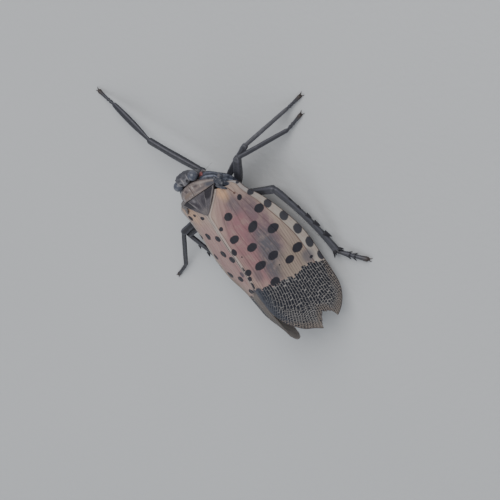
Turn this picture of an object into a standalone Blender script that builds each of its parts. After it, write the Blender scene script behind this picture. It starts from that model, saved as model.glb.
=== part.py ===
"""A spotted lanternfly standing with its wings folded like a roof, at life size.

The insect faces -Y with its back up, its right side at -X, and its six feet on the plane z = 0.
Sizes are in millimetres until a mesh is made, and MM turns them into Blender's metres.
"""

import math
from dataclasses import dataclass
from functools import partial

import bmesh
import bpy
from mathutils import Matrix, Vector

MM = 0.001

# Clear space kept between one piece and the next
GAP = 0.3

# Folded wings: stations along the body with the mean slope in degrees and the height of the ridge
WING_THICKNESS = 0.5
WING_ROOT_INNER_Y = 2.7
WING_ROOT_OUTER_Y = 3.05
WING_WIDTH = 8.95
WING_SHOULDER_Y = 2.4
WING_SHOULDER_WIDTH = 2.6
WING_WIDEST_Y = 16.0
WING_CURL = 2.2
RIDGE_HEIGHT = [(2.4, 7.1), (4.8, 7.44), (8.5, 7.83), (12, 7.92), (18, 7.9), (21, 7.75), (25, 7.4)]
RIGHT_SLOPE = [(2.4, 22), (4.5, 33), (7, 40.5), (12, 43), (18, 45), (25, 50)]
LEFT_SLOPE = [
    (2.4, 26.5), (4.5, 33), (7, 37.5), (12, 38.7), (14, 41), (16, 45.5), (18, 47.3), (20, 48.5), (22, 57), (24, 68),
]
# The right wing lies over the midline a little behind the middle
SEAM_SHIFT = [(2.4, 0), (12, 0), (16, 0.35), (19, 0.35), (22, 0.1), (25, 0)]
# Rounded end of a forewing: fraction of its width, and y where a line there ends
WING_END = [
    (0, 20.4), (0.06, 21.45), (0.13, 22.2), (0.25, 23.0), (0.35, 23.7), (0.5, 23.95), (0.63, 23.65),
    (0.72, 23.25), (0.79, 22.75), (0.87, 22.0), (0.94, 20.95), (0.985, 19.6), (1, 18.0),
]
# The right wing's end is torn: a notch lies between the two tips that are left of it
TORN_END = [
    (0.35, 23.7), (0.38, 23.15), (0.42, 22.85), (0.435, 22.5), (0.487, 22.1), (0.55, 22.4), (0.6, 22.65),
    (0.626, 23.6),
]
WING_ROWS = 15
WING_LINES = [0, 0.06, 0.2, 0.33, 0.487, 0.626, 0.78, 0.94, 1]
TORN_LINES = [0.35, 0.435, 0.6]

# Main veins of a wing, at fractions of its width
WING_VEINS = [0.13, 0.26, 0.4, 0.55, 0.7, 0.86]
VEIN_HALF_WIDTH = 0.02
VEIN_HEIGHT = 0.16
VEIN_FULL_WIDTH = 6.0

# Hind wings, folded below the forewings
HINDWING_DROP = WING_THICKNESS + 0.35
HINDWING_ROOT_Y = 5.6
HINDWING_ROUNDING_Y = 13.0
HINDWING_APEX_Y = 19.5
HINDWING_INNER = 0.9
HINDWING_WIDTH = 6.6
HINDWING_SHOULDER = 0.45
HINDWING_SPREAD = 9.0
HINDWING_ROUNDNESS = 2.3
HINDWING_ROWS = 10
HINDWING_LINES = [0, 0.08, 0.27, 0.5, 0.73, 0.92, 1]
HINDWING_VEINS = [0.17, 0.38, 0.62, 0.83]

# Scutellum: the shield between the wing bases
SHIELD_FRONT_Y = 2.25
SHIELD_FRONT_BOW = 0.4
SHIELD_TIP_Y = 4.86
SHIELD_HALF_WIDTH = 2.3
SHIELD_TIP_HALF_WIDTH = 0.16
SHIELD_TOP = 7.42
SHIELD_RISE = 0.1
SHIELD_DROP = 0.35
SHIELD_THICKNESS = 0.55
SHIELD_COLUMNS = [-1, -0.75, -0.58, -0.5, -0.42, -0.25, -0.1, 0, 0.1, 0.25, 0.42, 0.5, 0.58, 0.75, 1]
SHIELD_KEELS = {-0.5: 0.06, 0: 0.1, 0.5: 0.06}

# Pronotum: the collar behind the head
COLLAR_FRONT_Y = 0.7
COLLAR_FRONT_BOW = 0.82
COLLAR_HALF_WIDTH = 2.4
COLLAR_TOP = 7.36
COLLAR_RISE = 0.12
COLLAR_DROP = 1.3
COLLAR_THICKNESS = 0.55
COLLAR_COLUMNS = [-1, -0.85, -0.7, -0.55, -0.4, -0.25, -0.08, 0, 0.08, 0.25, 0.4, 0.55, 0.7, 0.85, 1]
COLLAR_KEEL = 0.1

# Thorax below the plates: y, then shares of its half width and of its height
THORAX_BOTTOM = 4.1
THORAX_TOP = 6.1
THORAX_HALF_WIDTH = 2.25
THORAX = [(1.0, 0.62, 0.75), (1.6, 0.9, 0.92), (2.6, 1.0, 1.0), (4.2, 1.0, 0.98), (5.2, 0.85, 0.7)]

# Abdomen: y, half width, half height and height of its axis at each station
ABDOMEN = [
    (5.5, 1.2, 0.8, 4.45), (6.3, 1.75, 1.1, 4.05), (7.8, 2.2, 1.46, 3.58), (9.6, 2.4, 1.65, 3.3),
    (11.6, 2.3, 1.6, 3.2), (13.4, 2.0, 1.4, 3.15), (15.0, 1.55, 1.1, 3.15), (16.4, 0.95, 0.75, 3.2),
    (17.3, 0.45, 0.4, 3.25),
]
ABDOMEN_JOINTS = [7.0, 8.6, 10.2, 11.8, 13.3, 14.7, 16.0]
ABDOMEN_STEP = 0.94

# Head, turned a little to the insect's left about the neck: z, half width, half depth, y of its middle
HEAD_TURN = math.radians(6.7)
NECK_Y = 0.6
HEAD_HALF_WIDTH = 1.0
HEAD = [
    (7.5, 0.6, 0.38, -0.6), (7.36, 0.95, 0.66, -0.54), (6.95, 1.12, 0.72, -0.45), (6.2, 1.12, 0.75, -0.18),
    (5.5, 1.05, 0.66, 0.02), (4.8, 0.8, 0.5, 0.17), (4.2, 0.5, 0.34, 0.34), (3.95, 0.3, 0.22, 0.42),
]
EYE_CENTRE = Vector((HEAD_HALF_WIDTH + GAP, -0.06, 7.05))
EYE_RADII = Vector((0.55, 0.5, 0.62))
ANTENNA_ROOT = Vector((HEAD_HALF_WIDTH + GAP, 0.3, 5.85))
# Feeler: distance from its root and radius, for the stem, the bulb and the bristle
ANTENNA = [(-0.2, 0.24), (0.12, 0.28), (0.32, 0.32), (0.52, 0.28), (0.64, 0.2), (0.8, 0.16), (2.0, 0.05)]
# Beak: y, z and radius along it
ROSTRUM = [(0.5, 3.45, 0.26), (0.9, 3.18, 0.3), (3.0, 3.1, 0.28), (5.0, 2.85, 0.25), (6.3, 2.2, 0.1)]
TEGULA_CENTRE = Vector((3.15, 2.19, 5.98))
TEGULA_RADII = Vector((0.4, 0.42, 0.36))


@dataclass(frozen=True)
class LegKind:
    """Thickness of one pair's legs; a shape holds shares of a radius from one joint to the next."""

    femur_radius: float
    tibia_radii: tuple[float, float]
    tibia_shape: tuple[float, ...]
    tarsus_radius: float
    tarsus_joints: tuple[float, float]
    coxa_top: tuple[float, float]
    spiny: bool = False


FEMUR_SHAPE = (0.8, 1.0, 1.02, 1.0, 0.98, 0.95, 1.0)
LEG_KINDS = {
    "foreleg": LegKind(
        femur_radius=0.37,
        tibia_radii=(0.4, 0.27),
        tibia_shape=(0.62, 0.75, 0.95, 1.05, 1.05, 1.0, 0.9, 0.8),
        tarsus_radius=0.24,
        tarsus_joints=(0.3, 0.46),
        coxa_top=(1.6, 1.3),
    ),
    "midleg": LegKind(
        femur_radius=0.42,
        tibia_radii=(0.27, 0.27),
        tibia_shape=(0.9, 1.0, 1.0, 1.0, 0.98, 0.95, 0.95),
        tarsus_radius=0.24,
        tarsus_joints=(0.34, 0.5),
        coxa_top=(1.95, 3.1),
    ),
    "hindleg": LegKind(
        femur_radius=0.37,
        tibia_radii=(0.34, 0.3),
        tibia_shape=(1.2, 1.12, 0.95, 0.86, 0.84, 0.88, 1.0, 1.1),
        tarsus_radius=0.24,
        tarsus_joints=(0.44, 0.62),
        coxa_top=(1.45, 4.75),
        spiny=True,
    ),
}
# Joints of each leg: hip, knee, ankle and foot
LEGS = {
    "foreleg_left": ((1.19, 0.04, 2.23), (4.62, -5.88, 2.42), (7.16, -11.76, 0.78), (8.24, -13.92, 0.3)),
    "foreleg_right": ((-2.7, 2.45, 2.85), (-7.98, 0.24, 4.39), (-13.27, -0.48, 0.62), (-15.26, -0.89, 0.3)),
    "midleg_left": ((2.0, 3.3, 2.7), (7.27, 5.7, 3.99), (12.68, 10.04, 0.74), (14.95, 10.79, 0.3)),
    "midleg_right": ((-2.9, 3.9, 2.6), (-7.21, 0.81, 6.02), (-11.58, 1.71, 0.66), (-13.86, 1.01, 0.3)),
    "hindleg_left": ((1.45, 5.25, 1.95), (8.0, 6.45, 2.5), (5.6, 17.0, 0.7), (4.7, 20.6, 0.3)),
    "hindleg_right": ((-1.45, 5.25, 1.95), (-6.92, 6.59, 3.17), (-7.58, 17.3, 0.79), (-10.14, 19.98, 0.3)),
}
LEG_SIDES = 8
# Coxa: share of its length from the thorax to the hip, and radius
COXA = [(0.0, 0.42), (0.35, 0.5), (0.7, 0.44), (0.92, 0.26), (1.0, 0.1)]
COXA_BELOW_HIP = 0.42

# Foot: distance past the foot's point, share of the sole's radius and height of the axis
SOLE_RADIUS = 0.3
SOLE = [(-0.45, 0.85, 0.26), (-0.2, 1.0, 0.25), (0.05, 0.95, 0.25), (0.16, 0.6, 0.24)]
CLAW_SPREAD = math.radians(32)
CLAW_LENGTH = 0.55
CLAW_RADIUS = 0.13

# Spines of a hind leg: where each tip stands along the tibia and how long it is
SPINES = ((0.225, 0.65), (0.36, 0.8), (0.51, 0.98), (0.64, 1.1), (0.82, 1.25))
SPINE_SLENDERNESS = 0.19
SPINE_SPLAY = math.radians(37)
# Spines round the end of a hind tibia, and beside the joints of its tarsus
CROWN_SPLAY = math.radians(46)
CROWN_LENGTH = 0.6
CROWN_RADIUS = 0.13
CROWN_COUNT = 5
SPINE_SIDES = 5


def clear_scene():
    """Remove what the scene holds at the start."""
    for obj in list(bpy.data.objects):
        bpy.data.objects.remove(obj, do_unlink=True)


def finish(name, colour, roughness, metallic=0.0):
    """A plain Principled material in the piece's own colour."""
    material = bpy.data.materials.new(name)
    material.use_nodes = True
    shader = material.node_tree.nodes["Principled BSDF"]
    shader.inputs["Base Color"].default_value = (*colour, 1.0)
    shader.inputs["Roughness"].default_value = roughness
    shader.inputs["Metallic"].default_value = metallic
    return material


def through(stations, at):
    """A smooth curve through (place, value) stations, read at one place."""
    places = [place for place, _ in stations]
    values = [value for _, value in stations]
    at = min(max(at, places[0]), places[-1])
    span = max(i for i in range(len(places) - 1) if places[i] <= at)
    slopes = []
    for i in (span, span + 1):
        low, high = max(i - 1, 0), min(i + 1, len(places) - 1)
        slopes.append((values[high] - values[low]) / (places[high] - places[low]))
    length = places[span + 1] - places[span]
    t = (at - places[span]) / length
    return (
        values[span] * (1 + 2 * t) * (1 - t) ** 2
        + values[span + 1] * t * t * (3 - 2 * t)
        + length * slopes[0] * t * (1 - t) ** 2
        - length * slopes[1] * t * t * (1 - t)
    )


def straight_through(stations, at):
    """Straight lines through (place, value) stations, read at one place."""
    for (low, start), (high, end) in zip(stations, stations[1:]):
        if low <= at <= high:
            return start + (end - start) * (at - low) / (high - low)
    return stations[0][1] if at < stations[0][0] else stations[-1][1]


def add_piece(name, bm, material, collection, parent):
    """Turn a bmesh in millimetres into a smooth-shaded object in metres."""
    bmesh.ops.scale(bm, vec=(MM, MM, MM), verts=bm.verts)
    bmesh.ops.recalc_face_normals(bm, faces=bm.faces)
    mesh = bpy.data.meshes.new(name)
    bm.to_mesh(mesh)
    bm.free()
    mesh.materials.append(material)
    mesh.shade_smooth()
    mesh.set_sharp_from_angle(angle=math.radians(40))
    obj = bpy.data.objects.new(name, mesh)
    collection.objects.link(obj)
    obj.parent = parent
    return obj


def ring(centre, across, up, exponent=2.0, sides=LEG_SIDES, below=None):
    """Points round a superellipse whose half-axes are across and up, with its own exponent below the middle."""
    points = []
    for i in range(sides):
        angle = 2 * math.pi * (i + 0.5) / sides
        c, s = math.cos(angle), math.sin(angle)
        power = 2 / (below if below and s < 0 else exponent)
        a = math.copysign(abs(c) ** power, c)
        b = math.copysign(abs(s) ** power, s)
        points.append(Vector(centre) + across * a + up * b)
    return points


def skin(rings):
    """The open skin over rings of equally many points, and the vertices of its first and last ring."""
    bm = bmesh.new()
    rows = [[bm.verts.new(point) for point in row] for row in rings]
    count = len(rows[0])
    for low, high in zip(rows, rows[1:]):
        for i in range(count):
            j = (i + 1) % count
            bm.faces.new((low[i], low[j], high[j], high[i]))
    return bm, rows[0], rows[-1]


def loft(rings):
    """A closed skin over rings, with one face over each end."""
    bm, first, last = skin(rings)
    bm.faces.new(list(reversed(first)))
    bm.faces.new(last)
    return bm


def slab(rows):
    """A closed plate over rows that each run along its upper face and back along its lower one."""
    bm, *ends = skin(rows)
    count = len(rows[0])
    for end in ends:
        for i in range(count // 2 - 1):
            bm.faces.new((end[i], end[i + 1], end[count - 2 - i], end[count - 1 - i]))
    return bm


def cut(bm, point, normal):
    """Cut away what lies on the normal's side of a plane, and close the cut."""
    geometry = bm.verts[:] + bm.edges[:] + bm.faces[:]
    bmesh.ops.bisect_plane(bm, geom=geometry, plane_co=point, plane_no=normal, clear_outer=True)
    open_edges = [edge for edge in bm.edges if edge.is_boundary]
    bmesh.ops.edgeloop_fill(bm, edges=open_edges)
    return bm


def tube(path, radii, sides=LEG_SIDES):
    """A tube along a path: radii holds (half width, half height) at each point of it."""
    rings = []
    for i, point in enumerate(path):
        before, after = path[max(i - 1, 0)], path[min(i + 1, len(path) - 1)]
        along = (after - before).normalized()
        across = along.cross(Vector((0, 0, 1))).normalized()
        up = across.cross(along)
        rings.append(ring(point, across * radii[i][0], up * radii[i][1], sides=sides))
    return loft(rings)


def spine(start, direction, length, radius, droop=0.0, steps=1):
    """A tapered spine that can curve down towards its tip."""
    path, radii = [], []
    for i in range(steps + 1):
        t = i / steps
        path.append(start + direction * length * t - Vector((0, 0, droop * t * t)))
        radii.append((radius * (1 - 0.8 * t),) * 2)
    return tube(path, radii, sides=SPINE_SIDES)


def islands(bm):
    """The sets of faces that hang together."""
    left = set(bm.faces)
    while left:
        found = [left.pop()]
        for face in found:
            for edge in face.edges:
                for other in edge.link_faces:
                    if other in left:
                        left.remove(other)
                        found.append(other)
        yield found


def fuse(bm, forms):
    """Join a piece and the small forms rooted in it, and keep the largest closed surface."""
    rooted = bpy.data.collections.new("rooted")
    bpy.context.scene.collection.children.link(rooted)
    core = None
    for part in (bm, *forms):
        bmesh.ops.recalc_face_normals(part, faces=part.faces)
        mesh = bpy.data.meshes.new("form")
        part.to_mesh(mesh)
        part.free()
        obj = bpy.data.objects.new("form", mesh)
        if core is None:
            core = obj
            bpy.context.scene.collection.objects.link(core)
        else:
            rooted.objects.link(obj)
    union = core.modifiers.new("union", "BOOLEAN")
    union.operation = "UNION"
    union.operand_type = "COLLECTION"
    union.collection = rooted
    joined = bmesh.new()
    joined.from_object(core, bpy.context.evaluated_depsgraph_get())
    for obj in (core, *rooted.objects):
        bpy.data.objects.remove(obj, do_unlink=True)
    bpy.data.collections.remove(rooted)
    scraps = sorted(islands(joined), key=lambda faces: sum(face.calc_area() for face in faces))[:-1]
    bmesh.ops.delete(joined, geom=[face for faces in scraps for face in faces], context="FACES")
    return joined


def seam_x(y):
    """Where the two wings meet, across the body."""
    return through(SEAM_SHIFT, y)


def wing_point(side, y, s, depth=0.0):
    """A point of a folded wing: y along the body, s down its slope from the ridge, depth below its upper face."""
    slope = math.radians(through(RIGHT_SLOPE if side < 0 else LEFT_SLOPE, y))
    curl = math.radians(WING_CURL)
    start = slope - curl * WING_WIDTH / 2
    here = start + curl * s
    x = GAP / 2 + (math.sin(here) - math.sin(start)) / curl
    z = through(RIDGE_HEIGHT, y) - (math.cos(start) - math.cos(here)) / curl
    upward = Vector((side * math.sin(here), 0, math.cos(here)))
    # The cut along the inner margin stands upright, so that the two wings face each other squarely
    down = Vector((side * math.sin(here) * min(s, 1), 0, math.cos(here)))
    down /= down.dot(upward)
    return Vector((side * x + seam_x(y), y, z)) - down * depth


def shield_front(x):
    """The front edge of the scutellum at x, bowed forward in the middle."""
    return SHIELD_FRONT_Y + SHIELD_FRONT_BOW * (x / SHIELD_HALF_WIDTH) ** 2


def shield_width_at(t):
    """Half the width of the scutellum at a fraction of the way from its front corners to its tip."""
    return max(SHIELD_HALF_WIDTH * (1 - min(max(t, 0), 1) ** 1.1), SHIELD_TIP_HALF_WIDTH)


def shield_half_width(y):
    """Half the width of the scutellum at y, measured from its front corners."""
    corner = SHIELD_FRONT_Y + SHIELD_FRONT_BOW
    return shield_width_at((y - corner) / (SHIELD_TIP_Y - corner))


def wing_inner_edge(y):
    """The wing's margin beside the scutellum, and along the seam behind it."""
    beside = shield_half_width(y) + 1.4 * GAP
    return beside * (1 - min(max((y - SHIELD_TIP_Y - GAP) / 0.6, 0), 1))


def wing_costal_edge(y):
    """The wing's outer margin, before its rounded end."""
    t = max(WING_WIDEST_Y - y, 0) / (WING_WIDEST_Y - WING_SHOULDER_Y)
    return WING_SHOULDER_WIDTH + (WING_WIDTH - WING_SHOULDER_WIDTH) * max(1 - t**1.7, 0) ** (1 / 1.7)


@dataclass(frozen=True)
class Vane:
    """A thin curved wing whose lines run from its root to its end, each at one fraction of its width."""

    side: int
    lines: tuple[float, ...]
    veins: tuple[float, ...]
    rows: int
    drop: float
    veins_below: bool

    def root(self, fraction):
        """Where a line starts."""
        raise NotImplementedError

    def end(self, fraction):
        """Where a line ends."""
        raise NotImplementedError

    def margins(self, y):
        """The inner and outer margin at y, down the slope."""
        raise NotImplementedError

    def crest(self, fraction, y):
        """How far a vein stands out of the membrane on this line."""
        if min(abs(fraction - vein) for vein in self.veins) > VEIN_HALF_WIDTH / 2:
            return 0.0
        inner, outer = self.margins(y)
        return VEIN_HEIGHT * min(1, (outer - inner) / VEIN_FULL_WIDTH)

    def mesh(self):
        """Both faces with the same triangles, and the rim between them."""
        bm = bmesh.new()
        lines = sorted(self.lines + tuple(v + k * VEIN_HALF_WIDTH for v in self.veins for k in (-1, 0, 1)))
        grid = {}
        for i, fraction in enumerate(lines):
            root, end = self.root(fraction), self.end(fraction)
            for j in range(self.rows + 1):
                y = root + (end - root) * j / self.rows
                inner, outer = self.margins(y)
                s = inner + (outer - inner) * fraction
                raised = self.crest(fraction, y)
                above, below = (0, raised) if self.veins_below else (raised, 0)
                for level, depth in (("top", self.drop - above), ("under", self.drop + WING_THICKNESS + below)):
                    grid[level, i, j] = bm.verts.new(wing_point(self.side, y, s, depth))
        last = len(lines) - 1
        for level in ("top", "under"):
            for i in range(last):
                for j in range(self.rows):
                    a, b = grid[level, i, j], grid[level, i + 1, j]
                    c, d = grid[level, i + 1, j + 1], grid[level, i, j + 1]
                    bm.faces.new((a, b, c))
                    bm.faces.new((a, c, d))
        rim = [(i, 0) for i in range(last)] + [(last, j) for j in range(self.rows)]
        rim += [(i, self.rows) for i in range(last, 0, -1)] + [(0, j) for j in range(self.rows, 0, -1)]
        for here, there in zip(rim, rim[1:] + rim[:1]):
            a, b = grid[("top", *here)], grid[("top", *there)]
            c, d = grid[("under", *there)], grid[("under", *here)]
            bm.faces.new((a, b, c))
            bm.faces.new((a, c, d))
        return bm


class Forewing(Vane):
    """A forewing, from its narrow root to its rounded end, torn on the right."""

    def root(self, fraction):
        return WING_ROOT_INNER_Y + (WING_ROOT_OUTER_Y - WING_ROOT_INNER_Y) * fraction

    def end(self, fraction):
        if self.side < 0 and TORN_END[0][0] <= fraction <= TORN_END[-1][0]:
            return straight_through(TORN_END, fraction)
        return through(WING_END, fraction)

    def margins(self, y):
        return wing_inner_edge(y), wing_costal_edge(y)


class Hindwing(Vane):
    """A hind wing, folded flat below the forewing, its veins standing out below."""

    def root(self, fraction):
        return HINDWING_ROOT_Y

    def end(self, fraction):
        off_centre = min(abs(2 * fraction - 1), 1)
        share = (1 - off_centre**HINDWING_ROUNDNESS) ** (1 / HINDWING_ROUNDNESS)
        return HINDWING_ROUNDING_Y + (HINDWING_APEX_Y - HINDWING_ROUNDING_Y) * share

    def margins(self, y):
        spread = min(1, HINDWING_SHOULDER + (y - HINDWING_ROOT_Y) / HINDWING_SPREAD)
        return HINDWING_INNER, HINDWING_INNER + (HINDWING_WIDTH - HINDWING_INNER) * spread


def forewing(side):
    """The mesh of one forewing."""
    lines = tuple(WING_LINES + TORN_LINES) if side < 0 else tuple(WING_LINES)
    return Forewing(side, lines, tuple(WING_VEINS), WING_ROWS, 0.0, False).mesh()


def hindwing(side):
    """The mesh of one hind wing."""
    return Hindwing(
        side, tuple(HINDWING_LINES), tuple(HINDWING_VEINS), HINDWING_ROWS, HINDWING_DROP, True
    ).mesh()


def plate_rows(count, columns, top_of, thickness):
    """Rows of a plate: its upper points from one side to the other, then its lower ones back."""
    rows = []
    for i in range(count):
        upper = [top_of(i / (count - 1), column) for column in columns]
        keels = [keel for _, keel in upper]
        points = [point for point, _ in upper]
        lower = [point - Vector((0, 0, thickness)) for point in reversed(points)]
        rows.append([point + Vector((0, 0, keel)) for point, keel in zip(points, keels)] + lower)
    return rows


def scutellum():
    """The shield on the back, pointed behind, gently domed, with three keels."""

    def top_of(t, column):
        x = shield_width_at(t) * column
        front = shield_front(SHIELD_HALF_WIDTH * column)
        z = SHIELD_TOP - SHIELD_RISE * (1 - t) - SHIELD_DROP * (x / SHIELD_HALF_WIDTH) ** 2
        return Vector((x, front + (SHIELD_TIP_Y - front) * t, z)), SHIELD_KEELS.get(column, 0) * (1 - 0.6 * t)

    return slab(plate_rows(7, SHIELD_COLUMNS, top_of, SHIELD_THICKNESS))


def collar():
    """The pronotum, a saddle over the front of the thorax, with a keel along its middle."""

    def top_of(t, column):
        x = COLLAR_HALF_WIDTH * column
        front = COLLAR_FRONT_Y + COLLAR_FRONT_BOW * column**2
        rear = shield_front(x) - GAP
        z = COLLAR_TOP - COLLAR_RISE * (1 - t) - COLLAR_DROP * abs(column) ** 2.4
        return Vector((x, front + (rear - front) * t, z)), COLLAR_KEEL if column == 0 else 0

    return slab(plate_rows(5, COLLAR_COLUMNS, top_of, COLLAR_THICKNESS))


def thorax():
    """The thorax below the plates, flat underneath where the hips meet it."""
    height = (THORAX_TOP - THORAX_BOTTOM) / 2
    rings = []
    for y, wide, high in THORAX:
        centre = Vector((0, y, THORAX_BOTTOM + height * high))
        across = Vector((THORAX_HALF_WIDTH * wide, 0, 0))
        rings.append(ring(centre, across, Vector((0, 0, height * high)), 2.1, 20, below=4.0))
    return loft(rings)


def abdomen():
    """The abdomen below the wings, each of its rings stepping in behind the one before."""
    places = [(y, 1.0) for y, *_ in ABDOMEN]
    for joint in ABDOMEN_JOINTS:
        places += [(joint, 1.0), (joint + 0.12, ABDOMEN_STEP)]
    rings = []
    for y, share in sorted(places):
        wide, high, axis = (through([(row[0], row[k]) for row in ABDOMEN], y) for k in (1, 2, 3))
        rings.append(ring((0, y, axis), Vector((wide * share, 0, 0)), Vector((0, 0, high * share)), 2.2, 20))
    return loft(rings)


def head():
    """The head, from the crown down to the clypeus, cut flat where the eyes and feelers meet it."""
    rings = []
    for z, wide, deep, y in HEAD:
        rings.append(ring((0, y, z), Vector((wide, 0, 0)), Vector((0, deep, 0)), 2.6, 20))
    bm = loft(rings)
    for side in (-1, 1):
        cut(bm, Vector((side * HEAD_HALF_WIDTH, 0, 0)), Vector((side, 0, 0)))
    return bm


def ball(radii, centre, segments, rings):
    """An ellipsoid."""
    bm = bmesh.new()
    bmesh.ops.create_uvsphere(bm, u_segments=segments, v_segments=rings, radius=1.0)
    bmesh.ops.scale(bm, vec=radii, verts=bm.verts)
    bmesh.ops.translate(bm, vec=centre, verts=bm.verts)
    return bm


def mirrored(point, side):
    """The point on the given side of the body."""
    return Vector((side * point.x, point.y, point.z))


def eye(side):
    """A domed eye on the flat side of the head."""
    centre = mirrored(EYE_CENTRE, side)
    return cut(ball(EYE_RADII, centre, 16, 10), centre, Vector((-side, 0, 0)))


def antenna(side):
    """A feeler: a short stem, a bulb and a bristle, as one turned shape."""
    out = Vector((side * 0.86, -0.25, -0.3)).normalized()
    root = mirrored(ANTENNA_ROOT, side)
    bm = tube([root + out * along for along, _ in ANTENNA], [(radius,) * 2 for _, radius in ANTENNA], sides=10)
    return cut(bm, root, Vector((-side, 0, 0)))


def rostrum():
    """The beak, laid back under the thorax between the hips."""
    return tube([Vector((0, y, z)) for y, z, _ in ROSTRUM], [(radius,) * 2 for *_, radius in ROSTRUM])


def tegula(side):
    """The scale over a wing base."""
    return ball(TEGULA_RADII, mirrored(TEGULA_CENTRE, side), 12, 8)


def lean(before, joint, after):
    """The normal of the plane that halves the bend at a joint."""
    return ((joint - before).normalized() + (after - joint).normalized()).normalized()


def crown(centre, along, radius, length, width, count):
    """Spines set round the end of a leg segment, splayed off its axis."""
    across = along.cross(Vector((0, 0, 1))).normalized()
    up = across.cross(along)
    spines = []
    for i in range(count):
        angle = 2 * math.pi * i / count
        out = across * math.cos(angle) + up * math.sin(angle)
        direction = along * math.cos(CROWN_SPLAY) + out * math.sin(CROWN_SPLAY)
        spines.append(spine(centre + out * radius, direction, length, width))
    return spines


@dataclass(frozen=True)
class Leg:
    """One leg: its joints, and the four pieces that are cut flat where they face each other."""

    kind: LegKind
    hip: Vector
    knee: Vector
    ankle: Vector
    foot: Vector

    def coxa(self):
        """The first piece, from the thorax down to the hip."""
        across, along = self.kind.coxa_top
        top = Vector((math.copysign(across, self.hip.x), along, THORAX_BOTTOM - GAP))
        low = self.hip - Vector((0, 0, COXA_BELOW_HIP))
        rings = [ring(top.lerp(low, t), Vector((r, 0, 0)), Vector((0, -r, 0))) for t, r in COXA]
        outward = (self.knee - self.hip).normalized()
        return cut(loft(rings), self.hip + outward * 0.2, outward)

    def femur(self):
        """The thigh."""
        outward = (self.knee - self.hip).normalized()
        radii = [(self.kind.femur_radius * share,) * 2 for share in FEMUR_SHAPE]
        start, end = self.hip + outward * (0.2 + GAP), self.knee + outward * 0.9
        bend = lean(self.hip, self.knee, self.ankle)
        return cut(self.segment(start, end, radii), self.knee - bend * GAP / 2, bend)

    def tibia(self):
        """The shin, with its row of spines and its crown on a hind leg."""
        wide, deep = self.kind.tibia_radii
        radii = [(wide * share, deep * share) for share in self.kind.tibia_shape]
        shin = (self.ankle - self.knee).normalized()
        bm = self.segment(self.knee - shin * 0.9, self.ankle + shin * 0.5, radii)
        at_knee, at_ankle = lean(self.hip, self.knee, self.ankle), lean(self.knee, self.ankle, self.foot)
        cut(bm, self.knee + at_knee * GAP / 2, -at_knee)
        cut(bm, self.ankle - at_ankle * GAP / 2, at_ankle)
        if not self.kind.spiny:
            return bm
        out = shin.cross(Vector((0, 0, 1))).normalized()
        out *= math.copysign(1, out.x * self.hip.x)
        forms = []
        direction = shin * math.cos(SPINE_SPLAY) + out * math.sin(SPINE_SPLAY)
        for place, length in SPINES:
            root = self.knee.lerp(self.ankle, place) - shin * length * math.cos(SPINE_SPLAY) + out * wide * 0.25
            forms.append(spine(root, direction, length, length * SPINE_SLENDERNESS))
        end = self.ankle - shin * 0.45
        return fuse(bm, forms + crown(end, shin, wide * 0.55, CROWN_LENGTH, CROWN_RADIUS, CROWN_COUNT))

    def tarsus(self):
        """The foot: three short pieces in one, a flat sole and two claws."""
        toe = (self.foot - self.ankle).normalized()
        run = (self.foot - self.ankle).length
        first, second = self.kind.tarsus_joints
        stations = [
            (-0.3, 0.72), (0.02, 0.78), (first - 0.04, 1.12), (first + 0.03, 0.76), (second - 0.04, 1.08),
            (second + 0.04, 0.72),
        ]
        path = [self.ankle + toe * run * t for t, _ in stations]
        radii = [(self.kind.tarsus_radius * share,) * 2 for _, share in stations]
        flat = Vector((toe.x, toe.y, 0)).normalized()
        ground = Vector((self.foot.x, self.foot.y, 0))
        for reach, share, height in SOLE:
            path.append(ground + flat * reach + Vector((0, 0, height)))
            radii.append((SOLE_RADIUS * share,) * 2)
        bm = tube(path, radii)
        at_ankle = lean(self.knee, self.ankle, self.foot)
        cut(bm, self.ankle + at_ankle * GAP / 2, -at_ankle)
        cut(bm, Vector((0, 0, 0)), Vector((0, 0, -1)))
        forms = []
        for side in (-1, 1):
            direction = Matrix.Rotation(side * CLAW_SPREAD, 3, "Z") @ flat
            start = ground - flat * 0.08 + Vector((0, 0, 0.26))
            forms.append(spine(start, direction, CLAW_LENGTH, CLAW_RADIUS, droop=0.17, steps=2))
        if self.kind.spiny:
            for joint in (first, second):
                end = self.ankle.lerp(self.foot, joint - 0.1)
                forms += crown(end, toe, 0.1, 0.5, 0.11, 2)
        return fuse(bm, forms)

    @staticmethod
    def segment(start, end, radii):
        """A straight piece whose radii are spread evenly along it."""
        return tube([start.lerp(end, i / (len(radii) - 1)) for i in range(len(radii))], radii)


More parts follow.
